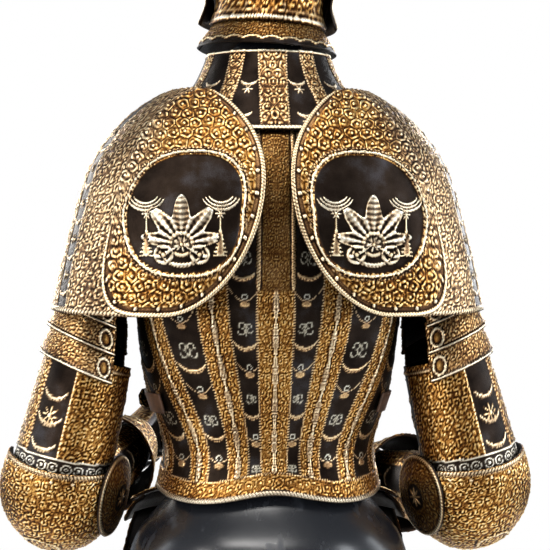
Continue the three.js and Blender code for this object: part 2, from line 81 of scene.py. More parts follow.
for name, place, size, watts, tint in (
    ("back_left", (1.7, 1.7, 1.2), (0.45, 1.7), 34, (1, 0.97, 0.93)),
    ("back_right", (-1.9, 1.4, 1.2), (0.45, 1.7), 30, (0.92, 0.96, 1)),
    ("back_high", (0.3, 1.7, 2.6), (1.3, 0.5), 34, (1, 0.98, 0.95)),
    ("side_left", (2.3, -0.2, 1.0), (0.5, 1.7), 22, (0.9, 0.95, 1)),
    ("side_right", (-2.3, -0.2, 1.0), (0.5, 1.7), 22, (0.9, 0.95, 1)),
    ("front_left", (1.5, -2.0, 1.3), (0.5, 1.6), 30, (1, 0.98, 0.95)),
    ("front_right", (-1.5, -2.0, 1.3), (0.5, 1.6), 30, (0.95, 0.97, 1)),
    ("top", (0, 0, 2.9), (1.2, 1.2), 24, (1, 1, 1)),
):
    soft_box(name, place, size, watts, tint)

world = bpy.data.worlds.new("studio")
bpy.context.scene.world = world
world.use_nodes = True
sky = world.node_tree
sky.nodes.clear()
ground, dim = (sky.nodes.new("ShaderNodeBackground") for _ in range(2))
ground.inputs["Color"].default_value = (1, 1, 1, 1)
dim.inputs["Color"].default_value = (0.62, 0.66, 0.72, 1)
dim.inputs["Strength"].default_value = 0.4
seen = sky.nodes.new("ShaderNodeLightPath")
choose = sky.nodes.new("ShaderNodeMixShader")
sky.links.new(seen.outputs["Is Camera Ray"], choose.inputs[0])
sky.links.new(dim.outputs[0], choose.inputs[1])
sky.links.new(ground.outputs[0], choose.inputs[2])
sky.links.new(choose.outputs[0], sky.nodes.new("ShaderNodeOutputWorld").inputs[0])
bpy.context.scene.view_settings.view_transform = "Standard"


class Value:
    """One socket of a shader, with the arithmetic that adds its Math nodes."""

    def __init__(self, finish, socket):
        self.finish, self.socket = finish, socket

    def maths(self, operation, *values):
        return self.finish.node("ShaderNodeMath", {"operation": operation}, *values)

    def __add__(self, other):
        return self.maths("ADD", self, other)

    def __sub__(self, other):
        return self.maths("SUBTRACT", self, other)

    def __rsub__(self, other):
        return self.maths("SUBTRACT", other, self)

    def __mul__(self, other):
        return self.maths("MULTIPLY", self, other)

    __radd__ = __add__

    def clamped(self):
        return self.finish.node("ShaderNodeClamp", None, self)


class Finish:
    """A material and its nodes: node() takes a type, its settings and its sockets."""

    def __init__(self, name):
        self.material = bpy.data.materials.new(name)
        self.material.use_nodes = True
        self.tree = self.material.node_tree
        self.tree.nodes.clear()
        self.surface = self.tree.nodes.new("ShaderNodeBsdfPrincipled")
        out = self.tree.nodes.new("ShaderNodeOutputMaterial")
        self.tree.links.new(self.surface.outputs[0], out.inputs[0])

    def node(self, kind, settings=None, *values, out=0, **named):
        made = self.tree.nodes.new(kind)
        for key, value in (settings or {}).items():
            if key == "stops":
                self.fill_ramp(made.color_ramp, value)
            else:
                setattr(made, key, value)
        for key, value in enumerate(values):
            self.put(made.inputs[key], value)
        for key, value in named.items():
            self.put(made.inputs[key.replace("_", " ")], value)
        return Value(self, made.outputs[out])

    @staticmethod
    def fill_ramp(ramp, stops):
        while len(ramp.elements) < len(stops):
            ramp.elements.new(1)
        for element, (place, colour) in zip(ramp.elements, stops):
            element.position, element.color = place, (*colour, 1)

    def put(self, socket, value):
        if isinstance(value, Value):
            self.tree.links.new(value.socket, socket)
        elif socket.type == "RGBA":
            socket.default_value = (*value, 1)
        else:
            socket.default_value = value

    def set(self, **sockets):
        for key, value in sockets.items():
            self.put(self.surface.inputs[key.replace("_", " ")], value)

    def place(self):
        return self.node("ShaderNodeTexCoord", out="Object")

    def noise(self, scale, detail=3.0, roughness=0.55, at=None):
        return self.node("ShaderNodeTexNoise", None, Vector=at or self.place(), Scale=scale,
                         Detail=detail, Roughness=roughness)

    def ramp(self, value, *stops):
        return self.node("ShaderNodeValToRGB", {"stops": stops}, value)

    def mix(self, share, first, second):
        made = self.tree.nodes.new("ShaderNodeMix")
        made.data_type = "RGBA"
        for socket, value in ((0, share), (6, first), (7, second)):
            self.put(made.inputs[socket], value)
        return Value(self, made.outputs[2])

    def bump(self, height, strength, distance):
        return self.node("ShaderNodeBump", None, Height=height, Strength=strength,
                         Distance=distance)


def floor():
    """A flat disc just under the form, from a ring of points."""
    turns = np.linspace(0, 2 * np.pi, 96, endpoint=False)
    rim = np.stack([1.2 * np.cos(turns), 1.2 * np.sin(turns), 0 * turns - 0.0005], 1)
    mesh = bpy.data.meshes.new("floor")
    mesh.from_pydata(rim.tolist(), [], [list(range(len(rim)))])
    disc = bpy.data.objects.new("floor", mesh)
    bpy.context.scene.collection.objects.link(disc)
    pale = Finish("pale_floor")
    pale.set(Base_Color=(0.82, 0.82, 0.81), Roughness=0.75)
    mesh.materials.append(pale.material)


floor()

# ---------------------------------------------------------------- dress form
# A plain limbless torso of glass fibre in gloss black lacquer, moulded in one piece
# down to a flat foot. It stands on that foot and carries the whole suit.

FORM = (                        # height, half width, depth to the back, depth to the front
    (0, 150, 122, 112), (130, 172, 142, 120), (260, 183, 152, 122), (334, 168, 136, 116),
    (392, 124, 96, 108), (450, 116, 82, 106), (600, 146, 104, 138), (740, 148, 108, 118),
    (820, 122, 88, 80), (868, 58, 54, 52), (900, 48, 48, 46), (945, 46, 46, 44),
)
FORM_TOP, FORM_CROWN = 945, 24    # the neck's upper edge, and how far it domes over it


def row(table, at):
    """Every column of a table at each height, on a cubic through the rows around it."""
    rows, at = np.array(table, float), np.asarray(at, float)
    after = np.clip(np.searchsorted(rows[:, 0], at), 1, len(rows) - 1)
    a, b = rows[after - 1], rows[after]
    first, last = rows[np.maximum(after - 2, 0)], rows[np.minimum(after + 1, len(rows) - 1)]
    span = b[..., :1] - a[..., :1]
    t = np.clip((at[..., None] - a[..., :1]) / span, 0, 1)
    rise = (b - first) / (b - first)[..., :1] * span
    fall = (last - a) / (last - a)[..., :1] * span
    return (a * (1 + 2 * t) * (1 - t) ** 2 + rise * t * (1 - t) ** 2
            + b * (3 - 2 * t) * t ** 2 + fall * t ** 2 * (t - 1))


def around(table, height, angle, proud=0.0, squareness=2.3):
    """Points of a level section: the radius is where the superellipse of the table's half
    width and depth meets the ray at that angle. 0 is the front, pi / 2 the left."""
    size = row(table, height)
    depth = np.where(np.cos(angle) > 0, size[..., 3], size[..., 2]) + proud
    across = np.abs(np.sin(angle)) / (size[..., 1] + proud)
    along = np.abs(np.cos(angle)) / depth
    reach = (across ** squareness + along ** squareness) ** (-1 / squareness)
    return np.stack([reach * np.sin(angle), -reach * np.cos(angle), height + 0 * reach], -1)


def build(name, points, faces, **attributes):
    """An object from points in millimetres and arrays of faces, each of its own size."""
    mesh = bpy.data.meshes.new(name)
    sizes = np.concatenate([np.full(len(f), f.shape[1]) for f in faces])
    mesh.vertices.add(len(points))
    mesh.vertices.foreach_set("co", (points / 1000).astype(np.float32).ravel())
    mesh.loops.add(int(sizes.sum()))
    corners = np.concatenate([f.ravel() for f in faces]).astype(np.int32)
    mesh.loops.foreach_set("vertex_index", corners)
    mesh.polygons.add(len(sizes))
    starts = np.concatenate([[0], np.cumsum(sizes)[:-1]]).astype(np.int32)
    mesh.polygons.foreach_set("loop_start", starts)
    mesh.update(calc_edges=True)
    mesh.shade_smooth()
    for key, values in attributes.items():
        layer = mesh.attributes.new(key, "FLOAT", "POINT")
        layer.data.foreach_set("value", values.astype(np.float32))
    made = bpy.data.objects.new(name, mesh)
    bpy.context.scene.collection.objects.link(made)
    return made


def cells(index):
    """The quads between neighbouring rows (down) and columns (across) of point numbers."""
    quads = np.stack([index[:-1, :-1], index[:-1, 1:], index[1:, 1:], index[1:, :-1]], -1)
    return quads.reshape(-1, 4)


def looped(index):
    """Point numbers with their first column once more at the end, to close a ring."""
    return np.concatenate([index, index[:, :1]], 1)


def wear(made, finish, body, slot_name, *nodes):
    """Gives a piece its finish, the body it rides on and the solids it stands for."""
    made.data.materials.append(finish.material)
    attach(made, body)
    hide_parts(*nodes)


def dress_form():
    """Level sections from the foot to the neck, then a quarter circle over the crown."""
    turn = np.linspace(0, 2 * np.pi, 121)[:-1]
    dome = np.linspace(0.1, 1.56, 12)
    height = np.concatenate([[0, 1.5], np.linspace(6, FORM_TOP, 150), 0 * dome + FORM_TOP])
    shrink = np.concatenate([[0.985, 0.998], np.ones(150), np.cos(dome)])
    lift = np.concatenate([np.zeros(152), FORM_CROWN * np.sin(dome)])
    points = around(FORM, height[:, None] + 0 * turn, turn + 0 * height[:, None])
    points[..., :2] *= shrink[:, None, None]
    points[..., 2] += lift[:, None]
    index = np.arange(points.shape[0] * len(turn)).reshape(-1, len(turn))
    return build("dress_form", points.reshape(-1, 3),
                 [cells(looped(index)), index[:1, ::-1], index[-1:]])


lacquer = Finish("black_lacquer")
scuffs = lacquer.ramp(lacquer.noise(34.0, 5.0, 0.6, lacquer.node(
    "ShaderNodeMapping", None, lacquer.place(), Scale=(1, 1, 0.4))),
    (0.6, (0, 0, 0)), (0.72, (1, 1, 1)))
lacquer.set(
    Base_Color=lacquer.mix(scuffs, (0.010, 0.011, 0.014), (0.03, 0.034, 0.042)),
    Roughness=0.2 + scuffs * 0.25 + lacquer.noise(9.0) * 0.12,
    Normal=lacquer.bump(lacquer.noise(11.0, 2.0), 0.25, 0.006),
    IOR=1.5,
)
wear(dress_form(), lacquer, "suit", "form_lacquer", "form")

# ---------------------------------------------------------------- backplate
# The back half of the cuirass, one sheet of steel raised to the body and embossed from
# behind. Gilt bands fan up from the waist over a blackened ground with silver inlay.

FLANGE_FOOT, PLATE_TOP = 392, 845
ARMHOLE_BACK, ARMHOLE_FRONT = 57, 60   # degrees that each body plate reaches at the armholes
KNOT_CYCLE = 85.0                      # height of one round of knot, crescent and basket
WALL = 2.0                             # every plate's thickness
RECESS_REACH = 2.6                     # how far off a point counts as its neighbourhood
TORSO = (
    (392, 143, 114, 134), (415, 138, 106, 130), (450, 134, 99, 131), (490, 143, 105, 152),
    (526, 154, 112, 166), (600, 166, 124, 170), (680, 172, 131, 156), (760, 168, 132, 134),
    (820, 152, 121, 110), (850, 134, 108, 96),
)


def smooth(value, low, high):
    """0 below low, 1 above high, and 3t^2 - 2t^3 between them."""
    t = np.clip((value - low) / (high - low), 0, 1)
    return t * t * (3 - 2 * t)


def mix(low, high, t):
    return low + (high - low) * t


def hashed(x, y, seed=0):
    """A number from 0 to 1 for each pair of whole numbers, the same on every run."""
    return np.mod(np.sin(x * 127.1 + y * 311.7 + seed * 74.7) * 43758.5453, 1)


def body_reach(height, narrow):
    """How far round each body plate reaches: to the side seam, then to the armhole."""
    return mix(89.8, narrow, smooth(height, 610, 720))


def flange_wave(u):
    """The back's lower edge, which dips on either side of the spine."""
    return 6 * np.cos((u - 0.5) * 4 * np.pi)


def backplate(u, v):
    """Level sections of the torso whose lower edge waves, with a spine pressed out."""
    height = mix(FLANGE_FOOT, PLATE_TOP, v) + flange_wave(u) * (1 - v) ** 8
    angle = np.radians(180 + mix(-1, 1, u) * body_reach(height, ARMHOLE_BACK))
    points = around(TORSO, height, angle)
    points[..., 1] += 5 * np.exp(-((u - 0.5) / 0.16) ** 2) * v
    return points


def domed(distance, radius):
    """The height of a half circle, 1 at its middle, at each distance from that middle."""
    return np.sqrt(np.clip(1 - (distance / radius) ** 2, 0, 1))


class Relief:
    """What is chased on one plate: a height in millimetres, the gilding and the
    silvering, each laid over the last by a mask from 0 to 1.

    u and v are the plate's own parameters, x, y and z its points and radius their
    distance from the suit's upright axis. across is the length along the surface from
    the middle column, down that from the first row and up that to the last row."""

    def __init__(self, u, v, place, ring):
        self.u, self.v, self.place = u, v, place
        self.x, self.y, self.z = np.moveaxis(place, -1, 0)
        self.radius = np.hypot(self.x, self.y)
        step = np.linalg.norm(np.diff(place, axis=1), axis=-1)
        run = np.pad(np.cumsum(step, 1), ((0, 0), (1, 0)))
        self.wide = run[:, -1:] + (step[:, -1:] if ring else 0) + 0 * run
        self.across = run - self.wide / 2
        fall = np.cumsum(np.linalg.norm(np.diff(place, axis=0), axis=-1), 0)
        self.down = np.pad(fall, ((1, 0), (0, 0)))
        self.tall = self.down[-1:] + 0 * run
        self.up = self.tall - self.down
        self.height, self.gilt, self.silver = 0 * run, 0 * run, 0 * run

    def lay(self, mask, height=None, gilt=None, silver=None):
        for key, value in (("height", height), ("gilt", gilt), ("silver", silver)):
            if value is not None:
                setattr(self, key, mix(getattr(self, key), value, mask))

    def strip(self, distance, width, height=0.9, gilt=1.0, silver=0.0):
        """A half-round rib along the line where distance is 0."""
        bow = domed(distance, width / 2)
        self.lay(smooth(bow, 0, 0.3), self.height + height * bow, gilt, silver)

    def rope(self, distance, along, width, pitch=None, height=1.6, gilt=1.0, silver=0.5):
        """A cable: a half-round rib whose strands slant across it."""
        bow = domed(distance, width / 2)
        strand = 0.5 + 0.5 * np.cos(2 * np.pi * (along + distance * 0.7) / (pitch or width * 0.62))
        self.lay(smooth(bow, 0, 0.3), height * bow * (0.45 + 0.55 * strand ** 0.6), gilt, silver)

    def beads(self, distance, along, size, pitch, height=1.2, gilt=1.0, silver=0.35):
        """Domes of one size along the line where distance is 0, each a pitch apart."""
        bow = domed(np.hypot(distance, np.mod(along, pitch) - pitch / 2), size / 2)
        self.lay(smooth(bow, 0, 0.25), height * bow, gilt, silver)

    def boss(self, distance, size, height):
        """One dome round the point where distance is 0."""
        self.beads(distance, 0.5, size, 1.0, height)

    def crescent(self, x, y, radius, thick, span=1.25, lines=26, silver=0.35):
        """A hanging swag: a ring's lower part, thickest in the middle, its outer half
        cut into a fringe and its inner half rounded. y points up from its centre."""
        r, phi = np.hypot(x, y), np.arctan2(x, -y)
        half = thick / 2 * np.clip(np.cos(phi / span * np.pi / 2), 0, 1) ** 0.7
        t = (r - radius) / np.maximum(half, 0.01)
        inside = smooth(1 - np.abs(t), 0, 0.35) * (np.abs(phi) < span) * (half > 0.25)
        fringe = 0.5 + 0.5 * np.cos(phi * lines)
        body = np.where(t > 0.1, 0.35 + 0.5 * fringe, 1.15 - 0.4 * np.abs(t + 0.5))
        self.lay(inside, 1.1 * body, 1.0, silver)

    def flower(self, x, y, radius, petals=8, silver=0.4):
        """A star of petals round a bead."""
        r, phi = np.hypot(x, y), np.arctan2(y, x)
        edge = radius * (0.52 + 0.48 * np.cos(petals * phi))
        t = np.clip(1 - r / np.maximum(edge, radius * 0.25), 0, 1)
        self.lay(smooth(t, 0, 0.25), 0.7 + 0.9 * t, 1.0, silver)
        self.boss(np.hypot(x, y), radius * 0.5, 2.0)

    def knot(self, x, y, size, width=1.15):
        """A pair of S scrolls back to back over a short stem, inlaid in silver."""
        x, y = np.abs(x) / size, y / size
        upper = np.abs(np.hypot(x - 0.42, y - 0.42) - 0.3)
        upper = np.where((x > 0.5) & (y < 0.36), 1, upper)
        lower = np.abs(np.hypot(x - 0.5, y + 0.22) - 0.36)
        lower = np.where((x > 0.42) & (y > -0.12), 1, lower)
        stem = np.hypot(x, np.maximum(np.abs(y + 0.05) - 0.75, 0))
        tips = np.minimum(np.hypot(x - 0.72, y - 0.3), np.hypot(x - 0.66, y + 0.55)) - 0.06
        line = np.minimum(np.minimum(upper, lower), np.minimum(stem + 0.02, tips)) * size
        self.lay(smooth(-line, -width / 2 - 0.5, -width / 2 + 0.3), 0.45, 0.0, 1.0)

    def foliage(self, x, y, size, mask=1.0, depth=1.5, gilt=1.0, silver=0.0, seed=0, tall=1.0):
        """Acanthus scrolls: points of a staggered lattice each carry a volute that winds
        out of a bead and ends in leaf lobes, left-handed and right-handed by turns."""
        y = y / tall
        first, second = np.full(x.shape, 9.0), np.full(x.shape, 9.0)
        height = 0 * x
        line = np.floor(y / (size * 0.86))
        for step_y in (-1, 0, 1):
            j = line + step_y
            shift = np.mod(j, 2) * 0.5
            column = np.floor(x / size - shift)
            for step_x in (0, 1):
                i = column + step_x
                jx, jy = hashed(i, j, seed) - 0.5, hashed(i, j, seed + 3) - 0.5
                dx = x / size - (i + shift + 0.5 * jx)
                dy = y / size - (j + 0.5 + 0.42 * jy) * 0.86
                r = np.hypot(dx, dy)
                hand = np.where(hashed(i, j, seed + 5) > 0.5, 1.0, -1.0)
                phi = hand * np.arctan2(dy, dx) + 6.3 * hashed(i, j, seed + 7)
                coil = 0.5 + 0.5 * np.cos(phi - r * (10 + 5 * hashed(i, j, seed + 9)))
                lobes = 0.5 + 0.5 * np.cos((4 + np.round(3 * jx)) * phi + r * 13)
                leaf = (0.25 + 0.6 * coil ** 1.5) * (0.5 + 0.5 * lobes * smooth(r, 0.1, 0.35))
                bud = domed(r, 0.13)
                here = np.maximum(leaf * smooth(r, 0.08, 0.17), bud)
                nearer = r < first
                second = np.where(nearer, first, np.minimum(second, r))
                height = np.where(nearer, here, height)
                first = np.minimum(first, r)
        seam = smooth(second - first, 0.0, 0.13)
        self.lay(mask, depth * (0.12 + seam * height), gilt, silver)

    def sunk(self, reach):
        """How far each point stands over its neighbourhood, from 0, sunk, to 1, proud:
        the height less its mean over a square, the mean taken by running sums."""
        mean = self.height
        for axis in (0, 1):
            pad = [(0, 0), (0, 0)]
            pad[axis] = (reach + 1, reach)
            total = np.cumsum(np.pad(mean, pad, mode="edge"), axis)
            size = mean.shape[axis]
            low, high = np.arange(size), np.arange(size) + 2 * reach + 1
            mean = (np.take(total, high, axis) - np.take(total, low, axis)) / (2 * reach + 1)
        return np.clip(0.5 + 0.62 * (self.height - mean), 0, 1)


def plate(name, surface, chase, spacing, wall=WALL, ring=False, pole=False, flip=False, coarse=4):
    """A closed wall of steel. Its outer face is surface(u, v), on a fine grid raised along
    its normals by the relief that chase() lays; its inner face is a coarse grid one wall
    further in, and rim faces join the two. flip mirrors the piece to the right side."""
    us, vs = np.meshgrid(np.linspace(0, 1, 25), np.linspace(0, 1, 25))
    rough = surface(us, vs)
    widest = np.linalg.norm(np.diff(rough, axis=1), axis=-1).sum(1).max()
    tallest = np.linalg.norm(np.diff(rough, axis=0), axis=-1).sum(0).max()
    columns, rows = (coarse * max(2, round(size / spacing / coarse)) for size in (widest, tallest))
    u, v = np.meshgrid(np.linspace(0, 1, columns + 1)[:-1 if ring else None],
                       np.linspace(0.004 if pole else 0, 1, rows + 1))
    place, step = surface(u, v), 1e-3

    def slope(axis):
        low, high = [u, v], [u, v]
        low[axis], high[axis] = low[axis] - step, high[axis] + step
        if not (ring and axis == 0):
            low[axis], high[axis] = np.maximum(low[axis], 0), np.minimum(high[axis], 1)
        return surface(*high) - surface(*low)

    normal = np.cross(slope(0), slope(1))
    normal /= np.maximum(np.linalg.norm(normal, axis=-1, keepdims=True), 1e-9)
    relief = Relief(u, v, place, ring)
    chase(relief)
    outer = place + normal * relief.height[..., None]
    inner = (place - wall * normal)[::coarse, ::coarse]
    many = outer.shape[0] * outer.shape[1]
    front = np.arange(many).reshape(outer.shape[:2])
    back = many + np.arange(inner.shape[0] * inner.shape[1]).reshape(inner.shape[:2])
    if ring:
        front, back = looped(front), looped(back)

    def rim(fine, rough_edge):
        """Faces with one coarse edge inside and its fine edges outside."""
        starts = np.arange(len(rough_edge) - 1)[:, None] * coarse
        return np.concatenate([fine[starts + np.arange(coarse + 1)],
                               rough_edge[1:, None], rough_edge[:-1, None]], 1)

    faces = [cells(front), cells(back)[:, ::-1], rim(front[-1], back[-1])]
    if pole:
        faces += [front[:1, -2::-1], back[:1, :-1]]
    else:
        faces.append(rim(front[0], back[0])[:, ::-1])
    if not ring:
        faces += [rim(front[:, 0], back[:, 0]), rim(front[:, -1], back[:, -1])[:, ::-1]]
    points = np.concatenate([outer.reshape(-1, 3), inner.reshape(-1, 3)])
    if flip:
        points[:, 0] *= -1
        faces = [face[:, ::-1] for face in faces]
    plain = np.zeros(inner.shape[0] * inner.shape[1])
    # how proud each point stands; the steel's finish paints the sunk points dark and the proud ones
    # bright, partly as patina and rubbed wear and partly as painted shade and painted highlight
    raised = relief.sunk(max(1, round(RECESS_REACH / spacing)))
    return build(name, points, faces,
                 gilt=np.concatenate([relief.gilt.ravel(), plain]),
                 silver=np.concatenate([relief.silver.ravel(), plain]),
                 raised=np.concatenate([raised.ravel(), plain + 0.3]))


def embossed_steel(name):
    """Blackened steel, fire-gilt and silvered where the attributes say. The gilt and silver
    are painted dark in the recesses, as patina and as painted shade, and painted bright on
    what stands proud, as rubbed wear and as painted highlight."""
    steel = Finish(name)
    raised, gilt, silver = (
        steel.node("ShaderNodeAttribute", {"attribute_name": key}, out="Fac")
        for key in ("raised", "gilt", "silver"))
    grain = steel.noise(900.0, 4.0, 0.65)
    cloud = steel.noise(22.0, 3.0)
    # painted shade and highlight mixed with wear: gilt and silver run from near black where the
    # relief is sunk (patina and painted shade) to pale where it stands proud (rubbed gilding and
    # painted highlight)
    wear_and_painted_light = (raised + (grain - 0.5) * 0.5 + (cloud - 0.5) * 0.35).clamped()
    gold = steel.ramp(wear_and_painted_light, (0.2, (0.008, 0.004, 0.002)), (0.4, (0.07, 0.024, 0.006)),
                      (0.52, (0.3, 0.125, 0.026)), (0.68, (0.74, 0.43, 0.12)),
                      (0.92, (1.0, 0.84, 0.46)))
    white = steel.ramp(wear_and_painted_light, (0.2, (0.010, 0.008, 0.006)), (0.44, (0.13, 0.11, 0.08)),
                       (0.6, (0.52, 0.47, 0.36)), (0.85, (0.97, 0.94, 0.85)))
    bare = steel.ramp(cloud + (grain - 0.5) * 0.3, (0.3, (0.006, 0.004, 0.003)),
                      (0.55, (0.022, 0.015, 0.011)), (0.78, (0.055, 0.052, 0.056)))
    steel.set(
        Base_Color=steel.mix(silver, steel.mix(gilt, bare, gold), white),
        Metallic=1.0,
        Roughness=(0.27 + (1 - wear_and_painted_light) * 0.3 + (grain - 0.5) * 0.14).clamped(),
        Normal=steel.bump(grain, 0.55, 0.0006),
    )
    return steel


# Bands of the back, counted from the spine outwards; the fan opens towards the shoulders.
BAND_ANGLE = 23.5, 33.0         # degrees between bands at the waist and at the shoulders
BAND_HALF = 11.5, 19.0          # half widths there, in millimetres


def band_grid(relief, narrow):
    """Where a point lies between the bands: its distance in millimetres from the nearest
    band's middle, that band's number, and the same for the nearest field between bands."""
    angle = mix(-1, 1, relief.u) * body_reach(relief.z, narrow)
    opened = smooth(relief.z, 405, 640)
    pitch = mix(*BAND_ANGLE, opened)
    scale = np.radians(pitch) * relief.radius
    turn = angle / pitch
    band = np.round(turn)
    field = np.floor(np.abs(turn)) + 0.5
    return ((turn - band) * scale, band, (np.abs(turn) - field) * scale, field,
            mix(*BAND_HALF, opened), scale / 2)


def chase_back(relief):
    """Gilt bands of mirrored scrolls between rows of beads; in the dark fields, silver
    knots, fringed crescents and small baskets on chains; a gilt border at the flange."""
    height = relief.z
    off, band, aside, field, half, room = band_grid(relief, ARMHOLE_BACK)
    half = half + 4 * (band == 0)
    gap = room - half
    y = height - np.where(field < 1, 599.0, 572.0)
    y = y - KNOT_CYCLE * np.round(y / KNOT_CYCLE)
    relief.knot(aside, y, np.clip(gap * 0.62, 5, 13))
    low = np.where(y + 20 > KNOT_CYCLE / 2, y + 20 - KNOT_CYCLE, y + 20)
    relief.crescent(aside, low - gap * 0.75, gap * 1.02, 6.5, 1.2, 30)
    low = np.where(y < 12 - KNOT_CYCLE / 2, y + KNOT_CYCLE, y) - 31
    basket = np.hypot(aside / 6.5, (low + 1) / 4.2)
    relief.lay(smooth(1 - basket, 0, 0.25), 1.2 * (1 - 0.4 * basket), 1.0, 0.3)
    relief.strip(np.hypot(aside, low - 8) - 3.0, 1.5, 0.7, 0.0, 1.0)
    chain = low - 3 - 0.045 * aside ** 2
    relief.strip(np.where(np.abs(aside) < gap, chain, 9), 1.6, 0.6, 1.0, 0.5)
    inside = smooth(half - np.abs(off), 0, 1.0)
    relief.foliage(np.abs(off) - 1, height + 13 * band, 9.5, inside, 1.5, seed=2, tall=1.15)
    stem = 3.2 + 1.8 * np.cos(height * 2 * np.pi / 42 + band)
    relief.strip(np.where(np.abs(off) < stem, off, 99), 7.0, 1.5, 1.0, 0.45)
    relief.beads(np.abs(off) - half, height, 2.5, 3.4, 1.0)
    edge = height - FLANGE_FOOT - flange_wave(relief.u)
    border = smooth(27 - edge, 0, 1.5)
    relief.foliage(relief.across, edge, 12, border, 1.5, seed=4)
    relief.beads(edge - 26, relief.across, 2.6, 3.4)
    relief.rope(edge - 3, relief.across, 6.5, 4.2, 2.0, 1.0, 0.75)
    strap = smooth(height, 640, 652) * smooth(26 - np.abs(relief.across), 0, 1)
    relief.lay(strap, 0.0, 0.0, 0.0)
    aside = np.abs(relief.across)
    relief.foliage(aside, height, 9, strap * smooth(17 - aside, 0, 1), 1.0, 0.55, seed=8)
    relief.rope(aside - 21, height, 5.5 * strap + 0.01, 4.0, 1.6, 1.0, 0.3)


def armour(node, surface, chase, spacing, slot_name="gilt_steel", name=None, body="suit",
           **shape):
    """An embossed plate of steel in the place of the solid of that node."""
    wear(plate(name or f"{node}_embossed", surface, chase, spacing, **shape), steel, body,
         slot_name, node)


steel = embossed_steel("embossed_steel")
armour("backplate", backplate, chase_back, 1.85)

# ---------------------------------------------------------------- breastplate
# The front half of the cuirass, one sheet drawn out to a low ridge, with the same gilt
# bands as the back. Waxed leather straps under each arm join the two halves.

def breastplate(u, v):
    """Level sections of the torso below a hollowed neckline, with a ridge down the front."""
    neckline = 34 * np.cos((u - 0.5) * np.pi) ** 2 * v ** 3
    height = mix(FLANGE_FOOT, PLATE_TOP, v) - neckline
    points = around(TORSO, height, np.radians(mix(-1, 1, u) * body_reach(height, ARMHOLE_FRONT)))
    ridge = np.exp(-np.abs((u - 0.5) / 0.12) ** 1.4) * np.sin(np.pi * v ** 0.7)
    points[..., 1] -= 9 * ridge
    return points


def chase_breast(relief):
    """The back's bands, a gilt border at the flange and a roped border at the neck."""
    height = relief.z
    off, band, aside, field, half, room = band_grid(relief, ARMHOLE_FRONT)
    half = half + 4 * (band == 0)
    gap = room - half
    y = height - np.where(field < 1, 590.0, 560.0)
    y = y - KNOT_CYCLE * np.round(y / KNOT_CYCLE)
    relief.knot(aside, y, np.clip(gap * 0.62, 5, 13), 1.6)
    low = np.where(y < 20 - KNOT_CYCLE / 2, y + KNOT_CYCLE, y) - 20
    relief.crescent(aside, low + 40 - gap * 0.75, gap, 7.0, 1.2, 24)
    relief.foliage(np.abs(off) - 1, height + 13 * band, 11, smooth(half - np.abs(off), 0, 1.4), 1.5)
    relief.beads(np.abs(off) - half, height, 3.4, 4.6)
    edge = height - FLANGE_FOOT
    relief.foliage(relief.across, edge, 13, smooth(25 - edge, 0, 2), 1.6, seed=4)
    relief.rope(edge - 4, relief.across, 7, 5, 2.0, 1.0, 0.6)
    relief.foliage(relief.across, relief.up, 13, smooth(24 - relief.up, 0, 2), 1.6, seed=6)
    relief.rope(relief.up - 5, relief.across, 8, 5.5, 2.4, 1.0, 0.6)


armour("breastplate", breastplate, chase_breast, 4.0)

STRAP, STRAP_HEIGHT, STRAP_WIDTH = 3, 505, 24
SIDES = ("left", False), ("right", True)    # the right side's pieces are the left's, mirrored
strap_grain = Finish("waxed_leather")
pores = strap_grain.node("ShaderNodeTexVoronoi", {"feature": "DISTANCE_TO_EDGE"},
                         Vector=strap_grain.place(), Scale=900.0)
worn = strap_grain.noise(60.0, 4.0)
strap_grain.set(
    Base_Color=strap_grain.ramp(worn, (0.3, (0.03, 0.014, 0.008)), (0.7, (0.13, 0.06, 0.03))),
    Roughness=0.42 + worn * 0.25,
    Normal=strap_grain.bump(pores, 0.5, 0.0004),
)


def side_strap(u, v):
    """A level band of the torso's sections at the side, a strap's thickness off the steel."""
    return around(TORSO, STRAP_HEIGHT + STRAP_WIDTH * (v - 0.5),
                  np.radians(mix(68, 114, u)), STRAP + 2.5)


def stitch_strap(relief):
    """A creased border with a row of stitches inside it."""
    edge = np.minimum(relief.down, relief.up)
    relief.strip(edge - 2.2, 0.9, -0.35, 0.0)
    relief.beads(edge - 4, relief.across, 1.6, 3.2, 0.4, 0.0, 0.0)


for side, flip in SIDES:
    wear(plate(f"side_strap_leather_{side}", side_strap, stitch_strap, 1.4, STRAP, flip=flip),
         strap_grain, "suit", "strap_leather", f"side_strap_{side}")

# ---------------------------------------------------------------- gorget
# Two halves of dark steel round the neck, hinged at one side and laid over the top of
# the cuirass. Gilt strips run up to the neck, with rosettes and swags between them.

BELL = (
    (838, 152, 127, 120), (860, 132, 112, 106), (880, 116, 101, 98), (900, 98, 88, 88),
    (920, 87, 79, 80), (942, 78, 72, 74),
)
BELL_FOOT, BELL_TOP = 838, 942
BELL_REACH = 89.6               # degrees from a half's middle to its seam


def gorget(middle):
    """Half of the bell's level sections, each side of a middle angle."""
    def half(u, v):
        return around(BELL, mix(BELL_FOOT, BELL_TOP, v),
                      np.radians(middle + mix(-BELL_REACH, BELL_REACH, u)))
    return half


